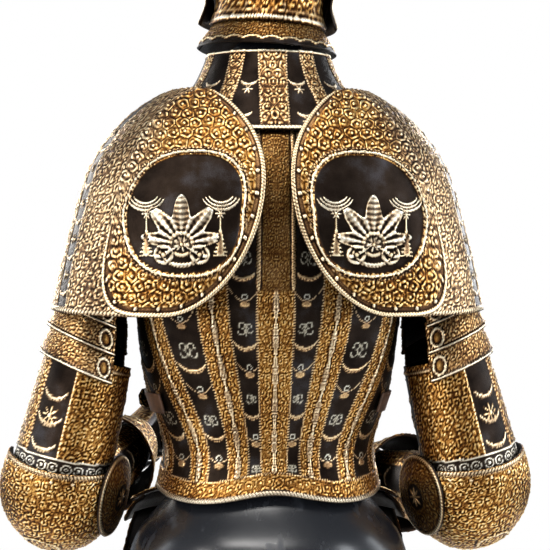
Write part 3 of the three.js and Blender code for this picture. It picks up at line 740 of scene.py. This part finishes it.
def chase_gorget(relief):
    """Gilt strips at fixed angles, the middle one widest; rosettes and swags between."""
    angle, height = mix(-BELL_REACH, BELL_REACH, relief.u), relief.z
    for strip, half in ((0, 17.0), (33, 9.0), (-33, 9.0), (66, 8.0), (-66, 8.0)):
        off = np.radians(angle - strip) * relief.radius
        inside = smooth(half - np.abs(off), 0, 1)
        relief.foliage(np.abs(off), height, 10 if strip else 13, inside, 1.9, 1.0, 0.18, seed=3)
        relief.beads(np.abs(off) - half, height, 2.8, 3.6, 1.2)
    for gap in (19, -19, 49, -49):
        off = np.radians(angle - gap) * relief.radius
        for foot in (858.0, 899.0):
            relief.crescent(off, height - foot - 9, 12.0, 5.0, 1.1, 26, 0.5)
            relief.flower(off, height - foot + 9, 7.0, 6, 0.5)
    relief.rope(relief.down - 3.5, relief.across, 7, 4.4, 2.2, 1.0, 0.6)
    relief.strip(relief.up - 2, 4, 1.2, 1.0, 0.5)


for end, middle, spacing in (("back", 180, 1.7), ("front", 0, 3.4)):
    armour(f"gorget_{end}", gorget(middle), chase_gorget, spacing, "dark_steel")

# ---------------------------------------------------------------- fauld and tassets
# Two lames across the belly and four on each thigh, riveted to leathers inside. Each is
# gilt along its lower edge, and its upper edge slides under the lame above.

SKIRT = (
    (120, 188, 170, 166), (200, 192, 170, 170), (300, 190, 168, 168), (350, 184, 160, 162),
    (370, 177, 154, 156), (383, 160, 140, 144), (393, 135, 120, 125), (404, 127, 110, 118),
)


def skirt_lame(top, foot, start, end, lift=0):
    """Level sections of the skirt, the lower edge standing 8 mm prouder than the upper."""
    def lame(u, v):
        return around(SKIRT, mix(foot, top, v), np.radians(mix(start, end, u)),
                      lift + mix(5, -3, v))
    return lame


def chase_lame(relief):
    """A roped lower edge, scrolls over it and a line of beads near the upper edge."""
    relief.foliage(relief.across, relief.down, 13, smooth(relief.down, 4, 6), 1.6, seed=5)
    relief.strip(13 - relief.up, 2.4, 0.9)
    relief.lay(smooth(13 - relief.up, 0, 1), 0.0, 0.0, 0.0)
    relief.rope(relief.down - 4, relief.across, 7.5, 5, 2.2, 1.0, 0.6)
    ends = relief.wide / 2 - np.abs(relief.across)
    relief.strip(ends - 3, 4, 1.4)


for number, (top, foot, lift) in enumerate(((402, 373, 0), (379, 346, -2)), 1):
    armour(f"fauld_{number}", skirt_lame(top, foot, -76, 76, lift), chase_lame, 3.6)

TASSET_TOP, TASSET_PITCH = 356, 56
for number in range(4):
    top = TASSET_TOP - TASSET_PITCH * number + (10 if number else 0)
    foot = TASSET_TOP - TASSET_PITCH * (number + 1)
    lame = skirt_lame(top, foot, 7 + 2.5 * number, 73 - 2.5 * number, 0 if number else -3)
    for side, flip in SIDES:
        armour(f"tasset_{side}_{number + 1}", lame, chase_lame, 3.6, flip=flip)

# ---------------------------------------------------------------- helmet
# A close helmet: a skull with a low comb, a bevor over the chin and a visor that turns
# on two pins. It sits turned and leaning a little to the wearer's right.

SKULL_SIDE, SKULL_ROUND = 92, 112
HELMET = (
    (-147, 74, 75, 96), (-113, 67, 66, 92), (-78, 80, 84, 101), (-38, 90, 104, 110),
    (0, 92, 112, 112),
)
HELMET_PLACE = np.array([-8, -6, 1124])
HELMET_YAW, HELMET_ROLL = math.radians(-8), math.radians(-3)
NECK_RIM, VISOR_PROUD, BEVOR_PROUD = -145, 13, 9


def leaning(points):
    """From the helmet's own frame to the suit's: a lean about Y, then a turn about Z."""
    c, s = math.cos(HELMET_ROLL), math.sin(HELMET_ROLL)
    lean = np.array([[c, 0, s], [0, 1, 0], [-s, 0, c]])
    c, s = math.cos(HELMET_YAW), math.sin(HELMET_YAW)
    turn = np.array([[c, -s, 0], [s, c, 0], [0, 0, 1]])
    return points @ (turn @ lean).T + HELMET_PLACE


def on_helmet(angle, fall, proud=0.0):
    """An ellipsoid down to a fall of 90 degrees from the crown, then straight down the
    sections of the neck at the same pace."""
    pace = SKULL_ROUND * math.pi / 180
    below = fall > 90
    height = np.where(below, -(fall - 90) * pace, (SKULL_ROUND + proud) * np.cos(np.radians(fall)))
    size = row(HELMET, np.minimum(height, 0))
    shrink = np.where(below, 1, np.sin(np.radians(fall)))
    depth = np.where(np.cos(angle) > 0, size[..., 3], size[..., 2]) + proud
    return np.stack([(size[..., 1] + proud) * np.sin(angle) * shrink,
                     -depth * np.cos(angle) * shrink, height], -1)


def fall_of(height):
    return 90 - height / (SKULL_ROUND * math.pi / 180)


def skull_bare(u, v):
    """Rings from the crown to the brow in front and to the neck behind, gathered towards
    the middle line, where a comb stands up."""
    even = 2 * np.pi * (1 - u)
    angle = even - 0.22 * np.sin(2 * even)
    reach = mix(72, fall_of(NECK_RIM), smooth(-np.cos(angle), -0.46, -0.06))
    points = on_helmet(angle, v * reach)
    comb = mix(5, 14, smooth(points[..., 1], -70, 30)) * smooth(points[..., 2], -70, 0)
    away = points * [0, 1, 1]
    away = away / np.maximum(np.linalg.norm(away, axis=-1, keepdims=True), 1e-6)
    return points + away * (comb * np.exp(-(points[..., 0] / 8) ** 2))[..., None]


def skull(u, v):
    return leaning(skull_bare(u, v))


def chase_skull(relief):
    """Scrolls all over, a roped comb, and at the neck a bright cable over a bead line."""
    bare = skull_bare(relief.u, relief.v)
    turn = np.arctan2(bare[..., 0], bare[..., 1])
    x, z = turn * 88, bare[..., 2]
    off = np.abs(x) - 62
    relief.foliage(np.abs(x), z, 17, 1.0, 1.9, seed=9)
    plain = smooth(np.abs(x) - 12, 0, 1) * smooth(30 - np.abs(off), 0, 2)
    relief.lay(plain * smooth(z, -40, -36), 0.0, 0.0, 0.0)
    for dip in (18.0, -30.0):
        relief.crescent(off, z - dip - 16, 24.0, 8, 1.2, 30)
    relief.flower(off, z - 46, 12, 8)
    relief.beads(np.abs(off) - 31, z, 4, 5.5, 1.4)
    relief.rope(bare[..., 0] + 99 * (z < -30), relief.down, 7, 5, 1.8, 1.0, 0.6)
    relief.strip(relief.up - 12, 3.0, 1.2, 1.0, 0.2)
    relief.rope(relief.up - 4, x, 6.5, 4.5, 2.4, 1.0, 0.85)


armour("helmet_skull", skull, chase_skull, 4.8, ring=True, pole=True)


def bevor(u, v):
    """The neck's sections and the chin's, flaring at the sides over the skull."""
    return leaning(on_helmet(np.radians(mix(-98, 98, u)), mix(fall_of(NECK_RIM), fall_of(-38), v),
                             BEVOR_PROUD + 7 * (2 * u - 1) ** 4 * (1 - v)))


def visor(u, v):
    """The skull's sections 13 mm prouder, drawn out in the middle into a blunt prow."""
    points = on_helmet(np.radians(mix(-99, 99, u)), mix(fall_of(-52), 68, v), VISOR_PROUD)
    prow = np.exp(-((u - 0.5) / 0.2) ** 2) * np.sin(np.pi * np.minimum(v * 1.1, 1))
    points[..., 1] -= 24 * prow
    return leaning(points)


def chase_bevor(relief):
    """Mirrored scrolls inside roped edges."""
    edge = np.minimum(np.minimum(relief.down, relief.up),
                      relief.wide / 2 - np.abs(relief.across))
    relief.foliage(np.abs(relief.across), relief.down, 15, smooth(edge, 7, 9), 1.8, seed=11)
    relief.rope(edge - 4, relief.across + relief.down, 7, 5, 2.2, 1.0, 0.7)


def chase_visor(relief):
    """The bevor's ornament, with two sights below the brow and rows of round breaths, each
    in a raised ring. Neither is cut through: each is sunk and left bare dark steel, a
    painted shade in place of an opening."""
    chase_bevor(relief)
    x, y = np.abs(relief.across), relief.up
    sight = np.hypot(np.maximum(np.abs(x - 42) - 30, 0), np.maximum(np.abs(y - 34) - 2.5, 0))
    relief.strip(sight - 3.5, 4, 1.6, 1.0, 0.6)
    # painted shade: the sight's inside is sunk 1.4 mm and left bare dark steel in place of an
    # opening
    relief.lay(smooth(2.2 - sight, 0, 1), -1.4, 0.0, 0.0)
    for low in (66.0, 80.0, 94.0):
        breath = np.hypot(np.mod(x, 13) - 6.5, y - low) + 9 * (x > 78)
        relief.strip(breath - 4.2, 2.2, 1.4, 1.0, 0.4)
        # painted shade: each breath's inside is sunk 1.4 mm and left bare dark steel in place of a
        # hole
        relief.lay(smooth(2.8 - breath, 0, 1), -1.4, 0.0, 0.0)


armour("helmet_bevor", bevor, chase_bevor, 3.4)
armour("helmet_visor", visor, chase_visor, 3.2, body="visor")


def neck_lame(middle):
    """Half of a short ring that flares out and down from under the helmet's cable."""
    def lame(u, v):
        points = on_helmet(np.radians(middle + mix(-89, 89, u)), fall_of(NECK_RIM) + 0 * u,
                           mix(16, -10, v))
        points[..., 2] += mix(-30, 8, v)
        return leaning(points)
    return lame


def chase_neck(relief):
    """Scrolls over a scalloped gilt edge whose points stand between dark hollows."""
    scallop = 6 + 4.0 * np.abs(np.sin(np.pi * relief.across / 24))
    relief.foliage(relief.across, relief.down, 10, smooth(relief.down - scallop, 0, 2), 1.5, 0.75,
                   seed=12)
    relief.strip(relief.down - scallop, 3.2, 1.8, 1.0, 0.25)


for end, middle in (("back", 180), ("front", 0)):
    armour(f"neck_lame_{end}", neck_lame(middle), chase_neck, 1.8, "dark_steel")

bright = Finish("bright_steel")
filed = bright.noise(700.0, 3.0, at=bright.node(
    "ShaderNodeMapping", None, bright.place(), Scale=(1, 1, 6)))
bright.set(
    Base_Color=bright.ramp(filed, (0.3, (0.3, 0.27, 0.22)), (0.7, (0.78, 0.74, 0.66))),
    Metallic=1.0, Roughness=0.22 + filed * 0.2, Normal=bright.bump(filed, 0.3, 0.0004),
)


def stud(u, v, hand, radius, start, end, petals):
    """A profile turned on the visor's axis: a flat inside, a straight edge and a domed
    head whose rim is cut into petals. u runs round it, v from the head's middle inwards."""
    turn = 2 * np.pi * u
    out = np.interp(v, (0, 0.6, 0.8, 1), (0, 0.96, 1, 0.1))
    dome = np.interp(v, (0, 0.3, 0.6, 0.8, 1), (1, 0.9, 0.55, 0, 0))
    reach = radius * out * (1 - petals * (1 - np.abs(np.cos(4 * turn))) * smooth(v, 0.2, 0.6))
    return leaning(np.stack([hand * mix(start, end, dome), reach * np.cos(turn),
                             reach * np.sin(turn)], -1))


PIVOT_FACE = SKULL_SIDE + VISOR_PROUD
u, v = np.meshgrid(np.linspace(0, 1, 49)[:-1], np.linspace(0.02, 1, 22))
index = np.arange(u.size).reshape(u.shape)
for side, hand in (("left", 1), ("right", -1)):
    for part, body, radius, start, end, petals in (
            ("pin", "suit", 4.0, SKULL_SIDE + 0.3, PIVOT_FACE - 4, 0.0),
            ("rosette", "visor", 12.0, PIVOT_FACE + 0.3, PIVOT_FACE + 6, 0.22)):
        points = stud(u, v, hand, radius, start, end, petals).reshape(-1, 3)
        faces = [cells(looped(index))[:, ::-1], index[:1], index[-1:, ::-1]]
        if hand < 0:
            faces = [face[:, ::-1] for face in faces]
        wear(build(f"visor_{part}_{side}_turned", points, faces), bright, body, "bright_steel",
             f"visor_{part}_{side}")

# ---------------------------------------------------------------- pauldrons
# Each shoulder has a cap and two wings on one envelope, the back one large enough to
# cover the shoulder blade. A dark medallion is sunk in it, inside wide gilt scrolls.

CLOAK = (
    (570, 276, 150, 170), (600, 270, 154, 170), (670, 257, 158, 166), (740, 240, 156, 158),
    (796, 223, 149, 146), (832, 201, 138, 134), (860, 176, 122, 120), (880, 150, 108, 106),
    (893, 128, 97, 96),
)
CLOAK_SQUARENESS = 2.4
WING_BACK = dict(middle=0.476, inwards=0.417, outwards=0.3, z=775, up=115, down=161, lean=0.13,
                 facing=1)
WING_FRONT = dict(middle=0.56, inwards=0.34, outwards=0.34, z=764, up=104, down=104, lean=0.1,
                  facing=-1)
CAP_FOOT, CAP_HEAD, CAP_RISE, CAP_PROUD = 614, 893, 40, 4
CAP_FROM, CAP_TO = 44, 134      # degrees round from the front
MEDALLION_X, MEDALLION_Z, MEDALLION_WIDE, MEDALLION_TALL = 111, 736, 67, 71


def on_cloak(share, height, facing, proud):
    """A point at a share of the envelope's half width, on its back (1) or its front (-1):
    the depth is the superellipse's at that share."""
    size = row(CLOAK, height)
    depth = (size[..., 2] if facing > 0 else size[..., 3]) + proud
    left = np.clip(1 - np.abs(share) ** CLOAK_SQUARENESS, 0, 1) ** (1 / CLOAK_SQUARENESS)
    return np.stack([share * (size[..., 1] + proud), facing * depth * left,
                     height + 0 * left], -1)


def wing(middle, inwards, outwards, z, up, down, lean, facing):
    """A plate that grows from its middle (v = 0) to a superellipse, squarest at its outer
    lower corner; it lies closer to the cap where it laps over it."""
    def surface(u, v):
        turn = 2 * np.pi * u * facing
        across, rising = np.cos(turn), np.sin(turn)
        square = np.where(rising > 0, 2.2, np.where(across > 0, 5, 1.8))
        reach = v * (np.abs(across) ** square + np.abs(rising) ** square) ** (-1 / square)
        rise = reach * rising
        share = (middle + np.where(across > 0, outwards, inwards) * reach * across
                 + lean * np.maximum(rise, 0) ** 3)
        proud = mix(12, 8.2, smooth(reach * (across + rising), 0.3, 1.1))
        return on_cloak(share, z + np.where(rising > 0, up, down) * rise, facing, proud)
    return surface


def chase_wing(relief):
    """Scrolls all over, a sunk dark medallion with a shell, swags and pendants in it, and
    a bright cable round the edge with domed rivets inside it."""
    x, z = relief.x, relief.z
    ring = np.linalg.norm(np.diff(relief.place[-1], axis=0, append=relief.place[-1][:1]), axis=-1)
    along = (np.cumsum(ring) - ring)[None] + 0 * x
    edge = (1 - relief.v) * relief.tall
    seam = smooth(np.cos(2 * np.pi * relief.u) + np.sin(2 * np.pi * relief.u), 0.2, 0.9)
    seam = seam if relief.y.mean() > 0 else 0 * seam
    pale = 0.42 * smooth(x - 150 + (z - 740) * 0.35, 0, 50)
    relief.foliage(x, z, 15, 1.0, 2.3, 1.0, pale, seed=14)
    mx, mz = (x - MEDALLION_X) / MEDALLION_WIDE, (z - MEDALLION_Z) / MEDALLION_TALL
    lean = np.where(mz > 0, mx + 0.2 * mz, mx)
    bean = (np.abs(lean) ** 2.5 + np.abs(mz) ** 2.5) ** (1 / 2.5)
    rim = (bean - 1) * 68
    relief.lay(smooth(-rim, 0, 2), -0.6, 0.0, 0.0)
    relief.strip(rim - 2.5, 3.0, 1.6, 1.0, 0.5)
    relief.beads(rim - 6.5, np.arctan2(mz, lean) * 73, 3.4, 4.4, 1.4)
    fx, fz = x - 113, z - 700
    r, phi = np.hypot(fx, fz), np.arctan2(fx, fz)
    fan = 60 * (0.80 + 0.20 * np.cos(phi * 9.0)) * np.clip(np.cos(phi * 0.62), 0, 1) ** 0.45
    shell = smooth(fan - r, 0, 3) * (np.abs(phi) < 2.2)
    ribs = 0.5 + 0.5 * np.cos(phi * 18)
    veins = 0.5 + 0.5 * np.cos(r * 0.95 + 1.5 * np.cos(phi * 9))
    relief.lay(shell, 1.4 + 2.3 * ribs * smooth(r, 6, 24) + 0.5 * veins, 1.0, 0.5 + 0.3 * ribs)
    relief.strip(r - 13, 5.0, 1.4, 1.0, 0.5)
    relief.flower(fx, fz, 11, 7, 0.6)
    for hand in (1, -1):
        curl = np.hypot(fx - hand * 21, fz + 12)
        relief.strip(curl - 9.5, 5.0, 2.6, 1.0, 0.6)
        relief.boss(curl, 7, 2.6)
        for radius in (16.0, 20.0, 24.0):
            relief.crescent(x - MEDALLION_X - hand * 44, z - 764, radius, 4.2, 1.15, 34, 0.65)
        drop, aside = z - 720, x - MEDALLION_X - hand * 43
        cone = 1.2 + 0.24 * np.clip(-drop, 0, 40) * (0.7 + 0.3 * np.cos(drop * 1.3))
        inside = smooth(cone - np.abs(aside), 0, 1) * (drop < 16) * (drop > -34)
        relief.lay(inside, 1.3, 1.0, 0.4)
        relief.flower(aside, z - MEDALLION_Z, 7, 6, 0.6)
    relief.crescent(fx, fz - 6, 31.0, 6.5, 1.0, 44, 0.65)
    relief.lay(smooth(13 - edge, 0, 1.5) * (1 - seam), 0.3, 1.0, 0.2)
    relief.beads(edge - 10, along, 5.2 * (1 - 0.99 * seam), 30, 2.4, 1.0, 0.5)
    relief.rope(edge - 3.0, along, 6.2 * (1 - 0.99 * seam), 4.0, 2.4, 1.0, 0.4)


def cap(u, v):
    """The envelope's sections round the side, the lower edge hanging lowest behind."""
    height = mix(CAP_FOOT + CAP_RISE * (1 - u) ** 2, CAP_HEAD, v)
    return around(CLOAK, height, np.radians(mix(CAP_FROM, CAP_TO, u)),
                  CAP_PROUD + 2 * (1 - v) ** 2, CLOAK_SQUARENESS)


def chase_cap(relief):
    """Upright strips: pale gilt scrolls next to the wings, and dark between them, with
    crescents and star flowers down the middle of each dark strip."""
    angle, z = mix(CAP_FROM, CAP_TO, relief.u), relief.z
    relief.foliage(angle * 3.9, z, 13, 1.0, 2.1, 1.0, 0.34, seed=17)
    for middle, half in ((104, 13.0), (66, 13.0)):
        off = np.radians(angle - middle) * relief.radius
        inside = smooth(half - np.abs(off), 0, 1.5)
        relief.lay(inside, 0.0, 0.0, 0.0)
        for foot in (640.0, 684.0, 728.0, 772.0, 816.0):
            relief.crescent(off, z - foot - 12, 12.0, 5.5, 1.15, 26, 0.5)
            relief.flower(off, z - foot - 24, 8.0, 8, 0.4)
        relief.beads(np.abs(off) - half, z, 3.2, 4.4, 1.3)
    relief.rope(relief.down - 4, relief.across, 7, 4.6, 2.2, 1.0, 0.5)


for side, flip in SIDES:
    for end, shape, spacing in (("back", WING_BACK, 1.7), ("front", WING_FRONT, 3.4)):
        armour(f"wing_{end}_{side}", wing(**shape), chase_wing, spacing,
               name=f"wing_{end}_embossed_{side}", ring=True, pole=True, flip=flip)
    armour(f"pauldron_cap_{side}", cap, chase_cap, 2.45, name=f"pauldron_cap_embossed_{side}",
           flip=flip)

# ---------------------------------------------------------------- arms and gauntlets
# Overlapping lames under each cap, a tube round each arm above and below the elbow, the
# elbow's cop with its side wing, and a gauntlet of cuff, hand, finger and thumb plates.

SHOULDER_POINT, ELBOW_POINT = np.array([167, 0, 800]), np.array([272, 14, 374])
WRISTS = {"left": np.array([176, -246, 420]), "right": np.array([172, -244, 376])}
ELBOW_BEND, HAND_LENGTH, FINGER_CURL, FINGER_ANGLE = 60, 88, 62, math.radians(82)
SLEEVE = (                      # place along the arm, half width across, half depth
    (0.3, 52, 62), (0.6, 58, 60), (0.8, 61, 60), (1, 62, 58), (1.5, 60, 51), (2, 50, 52),
    (2.4, 47, 50), (2.8, 37, 42), (3.05, 32, 39), (4, 25, 47), (5, 17, 40),
)


def unit(vector):
    return vector / np.linalg.norm(vector, axis=-1, keepdims=True)


def arm_line(wrist):
    """The middle line of one arm by places: 0 to 1 straight down the upper arm, 1 to 2 a
    parabola round the elbow, 2 to 3 along the forearm, 3 to 4 the hand, 4 to 5 an arc."""
    down, fore = unit(ELBOW_POINT - SHOULDER_POINT), unit(wrist - ELBOW_POINT)
    outer = unit(np.cross(down, fore))
    outer = outer * np.sign(outer[0])
    bend_in, bend_out = ELBOW_POINT - ELBOW_BEND * down, ELBOW_POINT + ELBOW_BEND * fore
    palm = wrist + HAND_LENGTH * fore

    def line(t):
        t = np.asarray(t, float)[..., None]
        s, turn = t - 1, FINGER_ANGLE * (t - 4)
        parts = [t < 1, t < 2, t < 3, t < 4]
        middle = np.select(parts, [
            mix(SHOULDER_POINT, bend_in, t),
            (1 - s) ** 2 * bend_in + 2 * s * (1 - s) * ELBOW_POINT + s ** 2 * bend_out,
            mix(bend_out, wrist, t - 2), mix(wrist, palm, t - 3),
        ], palm + FINGER_CURL * (fore * np.sin(turn) + outer * (np.cos(turn) - 1)))
        round_elbow = unit((1 - s) * (ELBOW_POINT - bend_in) + s * (bend_out - ELBOW_POINT))
        way = np.select(parts, [down + 0 * t, round_elbow, fore + 0 * t, fore + 0 * t],
                        fore * np.cos(turn) - outer * np.sin(turn))
        side = np.where(t > 4, outer * np.cos(turn) + fore * np.sin(turn), outer + 0 * t)
        elbow = unit(np.cross(side, way))
        keep = (elbow[..., 1:2] > 0) | (elbow[..., 2:] < 0)
        return middle, way, side, np.where(keep, elbow, -elbow)
    return line


def on_sleeve(line, t, angle, proud):
    """An ellipse round the line: angle 0 is the elbow's side, pi / 2 the outer side."""
    middle, way, side, elbow = line(t)
    size = row(SLEEVE, t)
    return (middle + elbow * ((size[..., 2] + proud) * np.cos(angle))[..., None]
            + side * ((size[..., 1] + proud) * np.sin(angle))[..., None])


def sleeve_plate(line, start, end, proud, first=0, last=360, slant=0.0):
    """The sleeve between two places and two angles, its two edges lifted differently. Its
    outer face stands a wall off the sleeve."""
    def surface(u, v):
        angle = np.radians(mix(first, last, u))
        return on_sleeve(line, mix(start, end, v) - slant * np.sin(angle), angle,
                         WALL + mix(*proud, v))
    return surface


def couter(line):
    """A cop that swells in its middle, its upper edge dipping behind the elbow."""
    def surface(u, v):
        swell = np.sin(np.pi * v)
        angle = np.radians(mix(-1, 1, u) * 118 * (0.72 + 0.28 * swell))
        t = mix(0.97 + 0.1 * np.cos(angle / 2) ** 4, 2.14, v)
        return on_sleeve(line, t, angle, WALL + 5 + 11 * swell * np.cos(angle / 2) ** 2)
    return surface


def couter_wing(line):
    """A shallow oval dish at the inner side of the elbow."""
    def surface(u, v):
        middle, way, side, elbow = line(1.5 + 0 * u)
        turn = 2 * np.pi * (1 - u)
        return (middle - side * (68 + 10 * (1 - v * v))[..., None]
                + elbow * (50 * v * np.cos(turn) - 14)[..., None]
                + way * (58 * v * np.sin(turn))[..., None])
    return surface


def thumb(line):
    """A blunt closed cone lying along the top of the hand."""
    def surface(u, v):
        middle, way, side, elbow = line(3.35 + 0 * u)
        lean = unit(0.9 * way - 0.42 * side)
        lift = -elbow
        out = unit(np.cross(lean, lift))
        width = 14 * np.sin(np.pi / 2 * np.minimum(v * 1.6, 1))
        turn = 2 * np.pi * u
        deep = row(SLEEVE, np.array(3.35))[2]
        return (middle + lift * (deep + 23 + width * np.cos(turn))[..., None]
                + lean * (62 * (1 - v))[..., None] + out * (width * np.sin(turn))[..., None])
    return surface


def chase_arm_lame(relief):
    """Small scrolls over a double bright edge, and an oval boss at the inner end."""
    low = relief.up
    relief.foliage(relief.across, relief.down, 9.5, 1.0, 1.6, 1.0, 0.15, seed=19)
    relief.strip(low - 2, 3.4, 1.9, 1.0, 0.7)
    relief.beads(low - 6, relief.across, 3.0, 4.0, 1.2)
    boss = np.hypot((relief.wide / 2 - 14 + relief.across) / 8, (low - 17) / 11)
    relief.strip((boss - 1) * 9, 4, 1.7, 1.0, 0.5)
    relief.lay(smooth(0.85 - boss, 0, 0.2), 1.8 * (1 - boss), 0.55, 0.0)


def chase_upper(relief):
    """Upright strips: gilt ones at the back and the outer side, dark fields between them
    with crescents and a star; a dark foot with pairs of bright volutes, and a roped top."""
    turn = np.where(relief.u > 0.5, 360 * relief.u - 360, 360 * relief.u)
    y = relief.up
    relief.foliage(turn, y, 12, 1.0, 1.8, 1.0, 0.35 * smooth(turn, 30, 60), seed=21)
    for middle, half in ((12, 22.0), (118, 20.0), (-120, 22.0)):
        off = (turn - middle) * 1.02
        relief.lay(smooth(half - np.abs(off), 0, 1.5), 0.0, 0.0, 0.0)
        for foot in (34.0, 66.0, 98.0):
            relief.crescent(off, y - foot - 16, 19.0, 7.0, 1.2, 34, 0.5)
        relief.flower(off, y - 74, 13, 8, 0.35)
        relief.beads(np.abs(off) - half, y, 3.0, 4.0, 1.2)
    relief.lay(smooth(25 - y, 0, 1), 0.0, 0.0, 0.0)
    pair = np.abs(np.mod(turn, 30) - 15) - 8
    coil = np.hypot(pair, y - 14)
    relief.strip(np.minimum(np.abs(coil - 5.5), np.abs(coil - 1.5)), 1.8, 0.9, 0.4, 1.0)
    relief.strip(y - 24, 3.0, 1.5, 0.6, 0.8)
    relief.rope(relief.down - 9, turn, 5, 4, 1.7, 1.0, 0.4)


def chase_couter(relief):
    """Scrolls all over, beads and a cable along both edges, and rivets inside them."""
    edge = np.minimum(relief.down, relief.up)
    relief.foliage(relief.across, relief.down, 14, 1.0, 2.2, seed=23)
    relief.strip(np.minimum(np.hypot(relief.across / 1.3, relief.down - relief.tall * 0.52) - 17, 9),
                 4, 1.8, 1.0, 0.3)
    relief.beads(edge - 12, relief.across, 5, 26, 2.2, 1.0, 0.4)
    relief.beads(edge - 7, relief.across, 2.8, 3.8, 1.2)
    relief.rope(edge - 3, relief.across, 6, 4.4, 2.0, 1.0, 0.45)


def chase_small(relief):
    """Dark steel with a strip of scrolls down its middle and bright beaded edges."""
    edge = np.minimum(relief.down, relief.up)
    relief.foliage(relief.across, relief.down, 10, smooth(edge - 5, 0, 2)
                   * smooth(np.cos(relief.across / 9), -0.2, 0.1), 1.4, 0.85, 0.1, seed=25)
    relief.beads(edge - 3, relief.across, 3.0, 4.2, 1.2, 1.0, 0.4)


def chase_disc(relief):
    """A dark dish with a ring of scrolls, a rosette in its middle and a roped edge."""
    edge = (1 - relief.v) * relief.tall
    turn = 2 * np.pi * relief.u
    x, y = relief.down * np.cos(turn), relief.down * np.sin(turn)
    relief.foliage(x, y, 13, smooth(edge - 5, 0, 1) * smooth(relief.down - 16, 0, 2), 1.5, 0.6,
                   seed=27)
    relief.flower(x, y, 15, 8, 0.3)
    relief.rope(edge - 3, turn * 50, 6, 4.5, 2.0, 1.0, 0.4)


for side, flip in SIDES:
    line = arm_line(WRISTS[side])
    for number, lame in enumerate((
            dict(start=0.43, end=0.52, first=-44, last=202, proud=(-15, -3)),
            dict(start=0.5, end=0.605, first=-48, last=208, proud=(-9.5, 1)),
            dict(start=0.585, end=0.695, first=-52, last=212, proud=(-7, 1))), 1):
        armour(f"pauldron_lame_{side}_{number}", sleeve_plate(line, slant=0.03, **lame),
               chase_arm_lame, 1.9, flip=flip)
    for node, shape, chase, spacing in (
            ("upper_cannon", sleeve_plate(line, 0.655, 1.12, (-7, -1)), chase_upper, 2.0),
            ("lower_cannon", sleeve_plate(line, 2.12, 2.97, (-4, -4)), chase_upper, 3.2),
            ("gauntlet_cuff", sleeve_plate(line, 2.6, 3.02, (20, 2)), chase_couter, 3.2)):
        armour(f"{node}_{side}", shape, chase, spacing, ring=True, flip=flip)
    armour(f"couter_{side}", couter(line), chase_couter, 2.0, flip=flip)
    for node, start, end, proud, first, last in (
            ("hand_{}", 3.05, 4.02, (-1, 1), -38, 218),
            ("fingers_{}_1", 3.98, 4.5, (-4, 0.5), -34, 214),
            ("fingers_{}_2", 4.44, 5, (-4, 0), -30, 210)):
        armour("gauntlet_" + node.format(side), sleeve_plate(line, start, end, proud, first, last),
               chase_small, 3.0, "dark_steel", flip=flip)
    for node, shape, chase, spacing in (("couter_wing", couter_wing(line), chase_disc, 2.3),
                                        ("gauntlet_thumb", thumb(line), chase_small, 2.6)):
        armour(f"{node}_{side}", shape, chase, spacing, "dark_steel", ring=True, pole=True,
               flip=flip)
